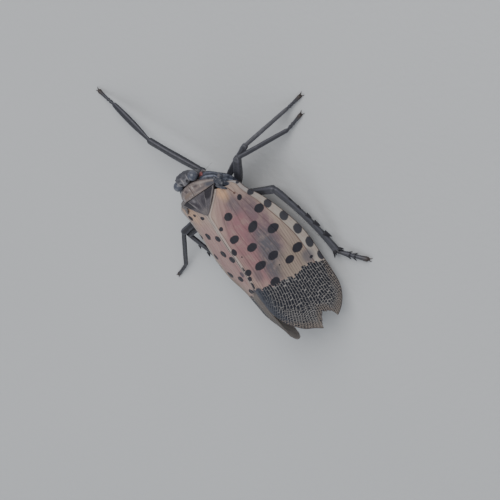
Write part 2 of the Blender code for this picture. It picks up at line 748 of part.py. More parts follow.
def main():
    """Build every piece, and set the whole on its feet about the middle of its box."""
    clear_scene()
    insect = bpy.data.collections.new("spotted_lanternfly")
    bpy.context.scene.collection.children.link(insect)

    body_frame = bpy.data.objects.new("body_frame", None)
    head_frame = bpy.data.objects.new("head_frame", None)
    for frame in (body_frame, head_frame):
        insect.objects.link(frame)
    head_frame.parent = body_frame
    neck = Vector((0, NECK_Y * MM, 0))
    turn = Matrix.Rotation(HEAD_TURN, 4, "Z")
    head_frame.matrix_local = Matrix.Translation(neck) @ turn @ Matrix.Translation(-neck)

    chitin = finish("dark_chitin", (0.03, 0.03, 0.035), 0.4)
    face = finish("grey_head", (0.09, 0.08, 0.08), 0.6)
    powder = finish("grey_collar", (0.2, 0.17, 0.15), 0.7)
    shield = finish("slate_shield", (0.12, 0.11, 0.11), 0.6)
    glass = finish("eye_black", (0.02, 0.02, 0.03), 0.15)
    orange = finish("feeler_orange", (0.6, 0.08, 0.04), 0.5)
    membrane = finish("forewing_tan", (0.42, 0.33, 0.27), 0.6)
    scarlet = finish("hindwing_red", (0.5, 0.06, 0.05), 0.6)
    yellow = finish("abdomen_yellow", (0.5, 0.36, 0.08), 0.6)

    add_piece("head", head(), face, insect, head_frame)
    add = partial(add_piece, collection=insect, parent=body_frame)
    add("rostrum", rostrum(), chitin)
    add("pronotum", collar(), powder)
    add("scutellum", scutellum(), shield)
    add("thorax", thorax(), chitin)
    add("abdomen", abdomen(), yellow)
    for side, word in ((-1, "right"), (1, "left")):
        add_piece(f"eye_{word}", eye(side), glass, insect, head_frame)
        add_piece(f"antenna_{word}", antenna(side), orange, insect, head_frame)
        add(f"tegula_{word}", tegula(side), chitin)
        add(f"forewing_{word}", forewing(side), membrane)
        add(f"hindwing_{word}", hindwing(side), scarlet)
    for name, joints in LEGS.items():
        leg = Leg(LEG_KINDS[name.split("_")[0]], *map(Vector, joints))
        add(f"{name}_coxa", leg.coxa(), chitin)
        add(f"{name}_femur", leg.femur(), chitin)
        add(f"{name}_tibia", leg.tibia(), chitin)
        add(f"{name}_tarsus", leg.tarsus(), chitin)

    bpy.context.view_layer.update()
    corners = [obj.matrix_world @ v.co for obj in insect.objects if obj.type == "MESH" for v in obj.data.vertices]
    middle = [(min(c[i] for c in corners) + max(c[i] for c in corners)) / 2 for i in (0, 1)]
    body_frame.location = (-middle[0], -middle[1], 0)


main()
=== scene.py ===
"""The looks of a spotted lanternfly that stands with its wings folded like a roof, at life size.

Places are millimetres in the insect's own frame: it faces -Y with its back up, its right side is at -X and
its feet stand on z = 0. `InsectFrame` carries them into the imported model's frame, which is in metres.
"""

import logging
import math
import random
from collections.abc import Callable, Iterable, Sequence
from dataclasses import dataclass, field, replace
from enum import Enum

import bpy
import numpy as np
from mathutils import Matrix, Vector


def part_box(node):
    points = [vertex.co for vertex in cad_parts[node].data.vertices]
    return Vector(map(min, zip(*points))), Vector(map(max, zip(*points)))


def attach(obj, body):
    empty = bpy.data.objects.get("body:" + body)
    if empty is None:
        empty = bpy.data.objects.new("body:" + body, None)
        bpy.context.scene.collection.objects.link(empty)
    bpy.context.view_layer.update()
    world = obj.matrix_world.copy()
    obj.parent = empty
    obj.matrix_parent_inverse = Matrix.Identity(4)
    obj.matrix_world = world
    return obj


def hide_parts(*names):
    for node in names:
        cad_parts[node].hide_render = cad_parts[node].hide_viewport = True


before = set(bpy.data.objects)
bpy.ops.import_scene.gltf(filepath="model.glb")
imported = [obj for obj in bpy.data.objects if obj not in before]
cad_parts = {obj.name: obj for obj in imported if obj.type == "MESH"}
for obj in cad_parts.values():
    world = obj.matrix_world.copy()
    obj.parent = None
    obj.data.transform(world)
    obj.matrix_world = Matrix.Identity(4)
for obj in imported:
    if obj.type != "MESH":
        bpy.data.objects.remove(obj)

LOG = logging.getLogger("lanternfly")
MM = 0.001
BODY = "root"

Stations = Sequence[tuple[float, float]]
Place = tuple[float, float, float]
Feed = bpy.types.NodeSocket | float | tuple[float, ...]


class Side(Enum):
    """The two sides of the body, with the sign of x there."""

    RIGHT = -1
    LEFT = 1

    @property
    def word(self) -> str:
        """The side's name in the names of pieces."""
        return self.name.lower()


def through(stations: Stations, at: np.ndarray) -> np.ndarray:
    """A smooth curve through stations, read at many places.

    Args:
        stations: Pairs of a place and the value there, in rising order of place.
        at: The places to read.

    Returns:
        The value at each place.
    """
    places, values = np.array(stations, float).T
    before = np.maximum(np.arange(len(places)) - 1, 0)
    after = np.minimum(np.arange(len(places)) + 1, len(places) - 1)
    slopes = (values[after] - values[before]) / (places[after] - places[before])
    at = np.clip(np.asarray(at, float), places[0], places[-1])
    span = np.clip(np.searchsorted(places, at, side="right") - 1, 0, len(places) - 2)
    length = places[span + 1] - places[span]
    t = (at - places[span]) / length
    return (
        values[span] * (1 + 2 * t) * (1 - t) ** 2
        + values[span + 1] * t * t * (3 - 2 * t)
        + length * slopes[span] * t * (1 - t) ** 2
        - length * slopes[span + 1] * t * t * (1 - t)
    )


def unit(vector: np.ndarray) -> np.ndarray:
    """Each vector, brought to length one."""
    return vector / np.maximum(np.linalg.norm(vector, axis=-1, keepdims=True), 1e-12)


def spread(inner: float, outer: float, count: int, gather: float = 1.0) -> np.ndarray:
    """Places from inner to outer that crowd together towards outer.

    Args:
        inner: The first place.
        outer: The last place.
        count: How many places.
        gather: Above one, the places stand closer towards the last.

    Returns:
        The places.
    """
    share = 1 - (1 - np.linspace(0, 1, count)) ** gather
    return inner + (outer - inner) * share


@dataclass(frozen=True)
class InsectFrame:
    """Carries the insect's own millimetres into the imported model's metres."""

    across: float
    along: float

    @classmethod
    def beside(cls, node: str, front: float) -> "InsectFrame":
        """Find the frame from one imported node.

        Args:
            node: A node that lies evenly on both sides of the body.
            front: Where its front stands in the insect's own frame.

        Returns:
            The frame.
        """
        low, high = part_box(node)
        return cls((low.x + high.x) / 2, low.y - front * MM)

    def carry(self, points: np.ndarray) -> np.ndarray:
        """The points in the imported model's frame."""
        return np.asarray(points, float) * MM + np.array([self.across, self.along, 0.0])


@dataclass(frozen=True)
class Relief:
    """A ridge, or a hollow where its height is below zero, along a line."""

    start: Place
    end: Place
    half_width: float
    height: float

    def lift(self, points: np.ndarray) -> np.ndarray:
        """How far each point rises.

        Args:
            points: Points in millimetres.

        Returns:
            One height for each point.
        """
        start, end = np.array(self.start), np.array(self.end)
        run = end - start
        share = np.clip((points - start) @ run / max(run @ run, 1e-9), 0, 1)
        away = np.linalg.norm(points - (start + share[:, None] * run), axis=1)
        return self.height * np.exp(-((away / self.half_width) ** 2))


@dataclass
class Shell:
    """Points in the insect's millimetres, the faces between them, and what a finish reads at each point."""

    points: np.ndarray
    quads: np.ndarray
    tris: np.ndarray
    facts: dict[str, np.ndarray] = field(default_factory=dict)

    @classmethod
    def woven(
        cls,
        rows: np.ndarray,
        closed: bool = True,
        capped: bool = True,
        facts: dict[str, np.ndarray] | None = None,
    ) -> "Shell":
        """Weave faces through rows of points.

        Args:
            rows: Points by row and column.
            closed: Whether the last column meets the first.
            capped: Whether the first and last rows close on their middles.
            facts: Values by row and column that a finish reads.

        Returns:
            The shell.
        """
        count, wide = rows.shape[:2]
        index = np.arange(count * wide).reshape(count, wide)
        near, far = (index, np.roll(index, -1, axis=1)) if closed else (index[:, :-1], index[:, 1:])
        quads = np.stack([near[:-1], far[:-1], far[1:], near[1:]], axis=-1).reshape(-1, 4)
        points = rows.reshape(-1, 3)
        kept = {name: values.reshape(-1, 3) for name, values in (facts or {}).items()}
        tris = np.zeros((0, 3), int)
        if capped:
            first, last = len(points), len(points) + 1
            points = np.vstack([points, rows[0].mean(0), rows[-1].mean(0)])
            kept = {n: np.vstack([v, facts[n][0].mean(0), facts[n][-1].mean(0)]) for n, v in kept.items()}
            low = np.stack([far[0], near[0], np.full(near.shape[1], first)], axis=-1)
            high = np.stack([near[-1], far[-1], np.full(near.shape[1], last)], axis=-1)
            tris = np.vstack([low, high])
        return cls(points, quads, tris, kept)

    @classmethod
    def joined(cls, shells: Iterable["Shell"]) -> "Shell":
        """Several shells as one.

        Args:
            shells: The shells, whose facts may differ.

        Returns:
            One shell that holds all of them, with zero where a shell lacks a fact.
        """
        shells = list(shells)
        names = {name for shell in shells for name in shell.facts}
        starts = np.cumsum([0] + [len(shell.points) for shell in shells])
        facts = {
            name: np.vstack([s.facts.get(name, np.zeros((len(s.points), 3))) for s in shells]) for name in names
        }
        return cls(
            np.vstack([shell.points for shell in shells]),
            np.vstack([shell.quads + start for shell, start in zip(shells, starts)]),
            np.vstack([shell.tris + start for shell, start in zip(shells, starts)]),
            facts,
        )

    def normals(self) -> np.ndarray:
        """The direction that the surface faces at each point."""
        total = np.zeros_like(self.points)
        corners = np.vstack([self.quads[:, [0, 1, 2]], self.quads[:, [0, 2, 3]], self.tris])
        a, b, c = (self.points[corners[:, k]] for k in range(3))
        facing = np.cross(b - a, c - a)
        for k in range(3):
            np.add.at(total, corners[:, k], facing)
        return unit(total)

    def carved(self, reliefs: Iterable[Relief]) -> "Shell":
        """The shell with ridges and hollows in it.

        Args:
            reliefs: The ridges and hollows.

        Returns:
            The same shell, changed.
        """
        rise = sum((relief.lift(self.points) for relief in reliefs), np.zeros(len(self.points)))
        self.points = self.points + self.normals() * rise[:, None]
        return self

    def roughened(self, size: float, depth: float, seed: int) -> "Shell":
        """The shell with soft random swellings.

        Args:
            size: The width of a swelling, in millimetres.
            depth: How far a swelling stands out.
            seed: Sets which swellings they are.

        Returns:
            The same shell, changed.
        """
        draw = np.random.default_rng(seed)
        waves = draw.normal(0, 1 / size, (14, 3))
        phases = draw.uniform(0, 2 * math.pi, 14)
        rise = np.sin(self.points @ waves.T + phases).sum(1) / 14
        self.points = self.points + self.normals() * (rise * depth)[:, None]
        return self

    def turned(self, matrix: Matrix) -> "Shell":
        """The shell, moved by a matrix in the insect's millimetres."""
        own = np.array(matrix)
        self.points = self.points @ own[:3, :3].T + own[:3, 3]
        return self

    def mirrored(self) -> "Shell":
        """The shell on the other side of the body, facing outward as before."""
        self.points = self.points * np.array([-1.0, 1.0, 1.0])
        self.quads = self.quads[:, ::-1]
        self.tris = self.tris[:, ::-1]
        return self

    def flipped(self) -> "Shell":
        """The shell, facing the other way."""
        self.quads = self.quads[:, ::-1]
        self.tris = self.tris[:, ::-1]
        return self


@dataclass
class Workbench:
    """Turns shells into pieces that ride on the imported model."""

    frame: InsectFrame
    made: int = 0

    def piece(self, name: str, shell: Shell, finish: "Finish", replaced: Sequence[str] = ()) -> bpy.types.Object:
        """Make one piece of the model.

        Args:
            name: The piece's name.
            shell: Its surface, in the insect's millimetres.
            finish: What its surface looks like.
            replaced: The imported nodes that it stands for.

        Returns:
            The piece.
        """
        mesh = bpy.data.meshes.new(name)
        mesh.from_pydata(self.frame.carry(shell.points).tolist(), [], shell.quads.tolist() + shell.tris.tolist())
        for fact, values in shell.facts.items():
            made = mesh.attributes.new(fact, "FLOAT_VECTOR", "POINT")
            made.data.foreach_set("vector", np.ascontiguousarray(values, np.float32).ravel())
        mesh.materials.append(finish.material())
        mesh.shade_smooth()
        mesh.validate()
        piece = bpy.data.objects.new(name, mesh)
        bpy.context.scene.collection.objects.link(piece)
        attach(piece, BODY)
        if replaced:
            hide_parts(*replaced)
        self.made += 1
        LOG.info("%s: %d faces", name, len(mesh.polygons))
        return piece


def paint(red: float, green: float, blue: float) -> tuple[float, float, float, float]:
    """An opaque colour."""
    return (red, green, blue, 1.0)


class Plan:
    """A node tree, with short ways to add nodes and join them."""

    def __init__(self, tree: bpy.types.NodeTree) -> None:
        """Work on this tree."""
        self.tree = tree

    def feed(self, socket: bpy.types.NodeSocket, value: Feed) -> None:
        """Join a socket to another, or set its value."""
        if isinstance(value, bpy.types.NodeSocket):
            self.tree.links.new(value, socket)
        else:
            socket.default_value = value

    def add(self, kind: str, inputs: dict[str | int, Feed] | None = None, **settings: object) -> bpy.types.Node:
        """Add a node.

        Args:
            kind: Blender's name for the node's type.
            inputs: What feeds its sockets, by name or number.
            **settings: The node's own settings.

        Returns:
            The node.
        """
        node = self.tree.nodes.new(kind)
        for name, value in settings.items():
            setattr(node, name, value)
        for name, value in (inputs or {}).items():
            self.feed(node.inputs[name], value)
        return node

    def math(self, operation: str, *values: Feed) -> bpy.types.NodeSocket:
        """The outcome of a sum on numbers."""
        return self.add("ShaderNodeMath", dict(enumerate(values)), operation=operation).outputs[0]

    def vector(self, operation: str, *values: Feed) -> bpy.types.NodeSocket:
        """The outcome of a sum on vectors."""
        node = self.add("ShaderNodeVectorMath", dict(enumerate(values)), operation=operation)
        return node.outputs["Value" if operation in ("LENGTH", "DOT_PRODUCT") else "Vector"]

    def scaled(self, vector: Feed, factor: Feed) -> bpy.types.NodeSocket:
        """A vector made longer or shorter."""
        return self.add("ShaderNodeVectorMath", {0: vector, "Scale": factor}, operation="SCALE").outputs["Vector"]

    def blend(self, share: Feed, under: Feed, over: Feed, mode: str = "MIX") -> bpy.types.NodeSocket:
        """One colour laid over another.

        Args:
            share: How much of the upper colour shows.
            under: The lower colour.
            over: The upper colour.
            mode: How the two meet.

        Returns:
            The colour.
        """
        node = self.add("ShaderNodeMix", data_type="RGBA", blend_type=mode, clamp_factor=True)
        for number, value in ((0, share), (6, under), (7, over)):
            self.feed(node.inputs[number], value)
        return node.outputs[2]

    def slide(self, value: Feed, start: Feed, end: Feed, low: float = 0.0, high: float = 1.0) -> bpy.types.NodeSocket:
        """A soft step.

        Args:
            value: What is read.
            start: Where the step starts.
            end: Where the step ends.
            low: What it gives up to the start.
            high: What it gives from the end on.

        Returns:
            The number.
        """
        inputs = {0: value, 1: start, 2: end, 3: low, 4: high}
        return self.add("ShaderNodeMapRange", inputs, interpolation_type="SMOOTHSTEP", clamp=True).outputs["Result"]

    def noise(self, place: Feed, scale: Feed, detail: float = 2.0) -> bpy.types.NodeSocket:
        """Soft random patches about 0.5."""
        return self.add("ShaderNodeTexNoise", {"Vector": place, "Scale": scale, "Detail": detail}).outputs[0]

    def chance(self, seed: Feed) -> bpy.types.NodeSocket:
        """A random number from nought to one for each seed."""
        return self.add("ShaderNodeTexWhiteNoise", {"W": seed}, noise_dimensions="1D").outputs["Value"]

    def split(self, vector: Feed) -> tuple[bpy.types.NodeSocket, ...]:
        """The three numbers of a vector."""
        return tuple(self.add("ShaderNodeSeparateXYZ", {0: vector}).outputs)

    def gather(self, x: Feed, y: Feed, z: Feed = 0.0) -> bpy.types.NodeSocket:
        """A vector from three numbers."""
        return self.add("ShaderNodeCombineXYZ", {0: x, 1: y, 2: z}).outputs[0]

    def fact(self, name: str) -> bpy.types.NodeSocket:
        """What the mesh holds under a name."""
        return self.add("ShaderNodeAttribute", attribute_name=name).outputs["Vector"]

    def millimetres(self) -> bpy.types.NodeSocket:
        """The place on the piece, in millimetres."""
        return self.scaled(self.add("ShaderNodeTexCoord").outputs["Object"], 1 / MM)

    def effect(self, effect: "Effect", inputs: dict[str, Feed]) -> bpy.types.Node:
        """Place a shared effect.

        Args:
            effect: Which effect.
            inputs: What feeds its sockets.

        Returns:
            The effect's node.
        """
        node = self.tree.nodes.new("ShaderNodeGroup")
        node.node_tree = effect_tree(effect)
        for name, value in inputs.items():
            self.feed(node.inputs[name], value)
        return node


class Effect(Enum):
    """What more than one finish uses, with its inputs and outputs; a v marks a vector."""

    OVAL = ("oval_mark", ("v Place", "v Centre", "v Radii", "Tilt", "Softness"), ("Mask",))
    CELLS = ("net_of_cells", ("v Cells", "v Pitch", "Vein"), ("Veins", "Fine"))
    STREAKS = ("fanned_streaks", ("Fraction", "Along", "Count", "Width"), ("Lines", "Tint"))
    BLOOM = ("waxy_bloom", ("v Place", "Size", "Cover"), ("Mask",))
    GRAIN = ("fine_grain", ("v Place", "Size"), ("Height", "Wear"))


def draw_oval(plan: Plan, given: dict[str, bpy.types.NodeSocket]) -> dict[str, bpy.types.NodeSocket]:
    """An oval with a soft rim.

    Args:
        plan: The group's tree.
        given: The group's inputs.

    Returns:
        The group's outputs.
    """
    away = plan.vector("SUBTRACT", given["Place"], given["Centre"])
    turned = plan.add("ShaderNodeVectorRotate", {"Vector": away, "Angle": given["Tilt"]}, rotation_type="Z_AXIS")
    reach = plan.vector("LENGTH", plan.vector("DIVIDE", turned.outputs[0], given["Radii"]))
    outside = plan.math("ADD", 1.0, given["Softness"])
    inside = plan.math("SUBTRACT", 1.0, given["Softness"])
    return {"Mask": plan.slide(reach, outside, inside)}


def draw_cells(plan: Plan, given: dict[str, bpy.types.NodeSocket]) -> dict[str, bpy.types.NodeSocket]:
    """The veins round rows of long cells; a row splits in two where the net grows finer.

    Args:
        plan: The group's tree.
        given: The group's inputs.

    Returns:
        The group's outputs.
    """
    along, across, _ = plan.split(given["Cells"])
    long, wide, fineness = plan.split(given["Pitch"])
    sway = plan.math("SUBTRACT", plan.noise(given["Cells"], 0.4, 1.0), 0.5)
    across = plan.math("MULTIPLY_ADD", sway, 0.6, across)
    fine = plan.math("MULTIPLY_ADD", plan.math("SUBTRACT", plan.chance(plan.math("FLOOR", across)), 0.5), 1.1, fineness)
    fine = plan.math("GREATER_THAN", fine, 0.0)
    times = plan.math("MULTIPLY_ADD", fine, 0.4, 1.0)
    across = plan.math("MULTIPLY", across, times)
    row = plan.math("FLOOR", across)
    uneven = plan.noise(plan.gather(plan.math("MULTIPLY", along, 0.6), plan.math("MULTIPLY", row, 5.3)), 1.0, 1.0)
    along = plan.math("MULTIPLY", along, times)
    along = plan.math("ADD", along, plan.math("MULTIPLY", plan.chance(plan.math("ADD", row, 0.37)), 3.0))
    along = plan.math("MULTIPLY_ADD", plan.math("SUBTRACT", uneven, 0.5), 2.2, along)
    to_row = plan.math("DIVIDE", plan.math("MULTIPLY", plan.math("PINGPONG", across, 0.5), wide), times)
    to_cross = plan.math("DIVIDE", plan.math("MULTIPLY", plan.math("PINGPONG", along, 0.5), long), times)
    near = plan.math("SMOOTH_MIN", to_row, to_cross, 0.05)
    outside = plan.math("MULTIPLY", given["Vein"], 1.6)
    return {"Veins": plan.slide(near, outside, plan.math("MULTIPLY", given["Vein"], 0.4)), "Fine": fine}


def draw_streaks(plan: Plan, given: dict[str, bpy.types.NodeSocket]) -> dict[str, bpy.types.NodeSocket]:
    """Thin lines that run with the wing, and a soft tint stretched the same way.

    Args:
        plan: The group's tree.
        given: The group's inputs.

    Returns:
        The group's outputs.
    """
    fan = plan.gather(plan.math("MULTIPLY", given["Fraction"], 9.0), plan.math("MULTIPLY", given["Along"], 0.16))
    sway = plan.math("MULTIPLY", plan.math("SUBTRACT", plan.noise(fan, 0.7, 1.0), 0.5), 1.3)
    place = plan.math("ADD", plan.math("MULTIPLY", given["Fraction"], given["Count"]), sway)
    off = plan.math("PINGPONG", place, 0.5)
    lines = plan.slide(off, given["Width"], 0.0)
    patchy = plan.slide(plan.noise(fan, 1.6, 2.0), 0.36, 0.62)
    fine = plan.gather(plan.math("MULTIPLY", given["Fraction"], 60.0), plan.math("MULTIPLY", given["Along"], 0.5))
    return {"Lines": plan.math("MULTIPLY", lines, patchy), "Tint": plan.noise(fine, 1.0, 3.0)}


def draw_bloom(plan: Plan, given: dict[str, bpy.types.NodeSocket]) -> dict[str, bpy.types.NodeSocket]:
    """Dusty wax that lies in patches.

    Args:
        plan: The group's tree.
        given: The group's inputs.

    Returns:
        The group's outputs.
    """
    scale = plan.math("DIVIDE", 1.0, given["Size"])
    patches = plan.noise(given["Place"], scale, 3.0)
    dust = plan.noise(given["Place"], plan.math("MULTIPLY", scale, 7.0), 2.0)
    level = plan.math("ADD", patches, plan.math("MULTIPLY", plan.math("SUBTRACT", dust, 0.5), 0.5))
    start = plan.math("SUBTRACT", 0.85, plan.math("MULTIPLY", given["Cover"], 0.7))
    return {"Mask": plan.slide(level, start, plan.math("ADD", start, 0.22))}


def draw_grain(plan: Plan, given: dict[str, bpy.types.NodeSocket]) -> dict[str, bpy.types.NodeSocket]:
    """The wrinkles and pores of a hard skin.

    Args:
        plan: The group's tree.
        given: The group's inputs.

    Returns:
        The group's outputs.
    """
    scale = plan.math("DIVIDE", 1.0, given["Size"])
    wrinkles = plan.noise(given["Place"], scale, 3.0)
    pores = plan.add("ShaderNodeTexVoronoi", {"Vector": given["Place"], "Scale": scale}).outputs["Distance"]
    height = plan.math("ADD", wrinkles, plan.math("MULTIPLY", pores, 0.35))
    wear = plan.noise(given["Place"], plan.math("MULTIPLY", scale, 0.16), 2.0)
    return {"Height": height, "Wear": wear}


DRAWN: dict[Effect, Callable[[Plan, dict[str, bpy.types.NodeSocket]], dict[str, bpy.types.NodeSocket]]] = {
    Effect.OVAL: draw_oval,
    Effect.CELLS: draw_cells,
    Effect.STREAKS: draw_streaks,
    Effect.BLOOM: draw_bloom,
    Effect.GRAIN: draw_grain,
}


def effect_tree(effect: Effect) -> bpy.types.NodeTree:
    """The node group of an effect, built the first time that it is asked for.

    Args:
        effect: Which effect.

    Returns:
        The group.
    """
    name, inputs, outputs = effect.value
    if name in bpy.data.node_groups:
        return bpy.data.node_groups[name]
    tree = bpy.data.node_groups.new(name, "ShaderNodeTree")
    for label in inputs:
        kind = "NodeSocketVector" if label.startswith("v ") else "NodeSocketFloat"
        tree.interface.new_socket(name=label.removeprefix("v "), in_out="INPUT", socket_type=kind)
    for label in outputs:
        tree.interface.new_socket(name=label, in_out="OUTPUT", socket_type="NodeSocketFloat")
    plan = Plan(tree)
    given = {socket.name: socket for socket in plan.add("NodeGroupInput").outputs if socket.name}
    plan.add("NodeGroupOutput", DRAWN[effect](plan, given))
    return tree


@dataclass(frozen=True)
class Finish:
    """What a surface looks like: its material's name, the record's slot, and how rough and shiny it is."""

    name: str
    slot: str
    roughness: float = 0.5
    gloss: float = 0.0
    shine: float = 0.3
    bump_depth: float = 0.02

    def material(self) -> bpy.types.Material:
        """The material, built the first time that it is asked for."""
        if self.name in bpy.data.materials:
            return bpy.data.materials[self.name]
        material = bpy.data.materials.new(self.name)
        material.use_nodes = True
        plan = Plan(material.node_tree)
        shader = material.node_tree.nodes["Principled BSDF"]
        shader.inputs["Coat Weight"].default_value = self.gloss
        shader.inputs["Coat Roughness"].default_value = 0.2
        shader.inputs["Specular IOR Level"].default_value = self.shine
        colour, roughness, height = self.surface(plan)
        bump = plan.add("ShaderNodeBump", {"Height": height, "Distance": self.bump_depth * MM, "Strength": 1.0})
        plan.feed(shader.inputs["Base Color"], colour)
        plan.feed(shader.inputs["Roughness"], roughness)
        plan.feed(shader.inputs["Normal"], bump.outputs["Normal"])
        return material

    def surface(self, plan: Plan) -> tuple[Feed, Feed, Feed]:
        """What feeds the shader.

        Args:
            plan: The material's tree.

        Returns:
            The colour, the roughness and the height of the fine relief.
        """
        raise NotImplementedError


@dataclass(frozen=True)
class Cuticle(Finish):
    """Hard skin: a dark colour, a paler one where wax or wear lies on it, and a fine grain."""

    colour: tuple[float, ...] = paint(0.03, 0.03, 0.035)
    pale: tuple[float, ...] = paint(0.12, 0.12, 0.13)
    cover: float = 0.3
    bloom_size: float = 0.6
    grain_size: float = 0.05

    def surface(self, plan: Plan) -> tuple[Feed, Feed, Feed]:
        place = plan.millimetres()
        grain = plan.effect(Effect.GRAIN, {"Place": place, "Size": self.grain_size})
        bloom = plan.effect(Effect.BLOOM, {"Place": place, "Size": self.bloom_size, "Cover": self.cover})
        colour = plan.blend(bloom.outputs["Mask"], self.colour, self.pale)
        colour = self.marked(plan, colour)
        roughness = plan.slide(grain.outputs["Wear"], 0.3, 0.7, self.roughness - 0.1, self.roughness + 0.12)
        return colour, roughness, grain.outputs["Height"]

    def marked(self, plan: Plan, colour: Feed) -> Feed:
        """The colour with the markings of this part on it."""
        return colour


@dataclass(frozen=True)
class LegCuticle(Cuticle):
    """A leg's skin: a painted highlight along its raised edges, and a brown foot."""

    # The paler colour of the painted highlight along the raised edges
    edge: tuple[float, ...] = paint(0.11, 0.11, 0.135)
    foot: tuple[float, ...] = paint(0.05, 0.037, 0.03)

    def marked(self, plan: Plan, colour: Feed) -> Feed:
        along, raised, _ = plan.split(plan.fact("leg_place"))
        # Painted highlight: the raised edges are painted paler, as if they catch the light
        painted_edge_highlight = plan.math("MULTIPLY", plan.slide(raised, 0.45, 1.0), 0.55)
        colour = plan.blend(painted_edge_highlight, colour, self.edge)
        return plan.blend(plan.slide(along, 3.2, 3.9, 0.0, 0.7), colour, self.foot)


@dataclass(frozen=True)
class PlateMark:
    """A soft mark on a plate: its place and radii in shares of the plate, and its colour."""

    across: float
    along: float
    wide: float
    long: float
    colour: tuple[float, ...]
    softness: float = 0.3
    strength: float = 0.9
    tilt: float = 0.0


@dataclass(frozen=True)
class PlateCuticle(Cuticle):
    """A plate's skin, with marks laid out on the plate's own shape."""

    marks: tuple[PlateMark, ...] = ()

    def marked(self, plan: Plan, colour: Feed) -> Feed:
        place = plan.fact("plate_place")
        stray = plan.add("ShaderNodeTexNoise", {"Vector": place, "Scale": 5.0, "Detail": 3.0}).outputs["Color"]
        place = plan.vector("ADD", place, plan.scaled(plan.vector("SUBTRACT", stray, (0.5, 0.5, 0.5)), 0.12))
        x, y, _ = plan.split(place)
        flat = plan.gather(x, y)
        for mark in self.marks:
            spot = plan.effect(
                Effect.OVAL,
                {
                    "Place": flat,
                    "Centre": (mark.across, mark.along, 0.0),
                    "Radii": (mark.wide, mark.long, 1.0),
                    "Tilt": math.radians(mark.tilt),
                    "Softness": mark.softness,
                },
            )
            share = plan.math("MULTIPLY", spot.outputs["Mask"], mark.strength)
            colour = plan.blend(share, colour, mark.colour)
        return colour


@dataclass(frozen=True)
class Facets(Finish):
    """The close-set lenses of an eye."""

    colour: tuple[float, ...] = paint(0.072, 0.08, 0.105)
    rim: tuple[float, ...] = paint(0.12, 0.115, 0.135)
    lens: float = 0.045

    def surface(self, plan: Plan) -> tuple[Feed, Feed, Feed]:
        place = plan.millimetres()
        cells = plan.add("ShaderNodeTexVoronoi", {"Vector": place, "Scale": 1 / self.lens}).outputs["Distance"]
        patches = plan.noise(place, 2.2, 2.0)
        colour = plan.blend(plan.slide(patches, 0.35, 0.7, 0.0, 0.6), self.colour, self.rim)
        height = plan.math("SUBTRACT", 1.0, cells)
        return colour, plan.slide(cells, 0.2, 0.8, self.roughness, self.roughness + 0.15), height


@dataclass(frozen=True)
class Rind(Finish):
    """The pitted orange skin of a feeler's bulb, dark towards its bristle."""

    colour: tuple[float, ...] = paint(0.155, 0.075, 0.08)
    dark: tuple[float, ...] = paint(0.03, 0.02, 0.02)

    def surface(self, plan: Plan) -> tuple[Feed, Feed, Feed]:
        place = plan.millimetres()
        pits = plan.add("ShaderNodeTexVoronoi", {"Vector": place, "Scale": 9.0}).outputs["Distance"]
        along, _, _ = plan.split(plan.fact("feeler_place"))
        colour = plan.blend(plan.noise(place, 6.0, 2.0), self.colour, paint(0.2, 0.04, 0.035))
        colour = plan.blend(plan.slide(along, 0.62, 0.7), colour, self.dark)
        return colour, self.roughness, pits


@dataclass(frozen=True)
class Mark:
    """A spot on a wing: where it lies along the body and down the slope, its radii, and its tilt in degrees."""

    y: float
    s: float
    along: float
    across: float
    tilt: float = 0.0


@dataclass(frozen=True)
class Wash:
    """A soft patch of colour on a wing."""

    y: float
    s: float
    along: float
    across: float
    colour: tuple[float, ...]
    strength: float = 0.8
    softness: float = 0.45
    tilt: float = 0.0


BROWN = paint(0.09, 0.045, 0.035)


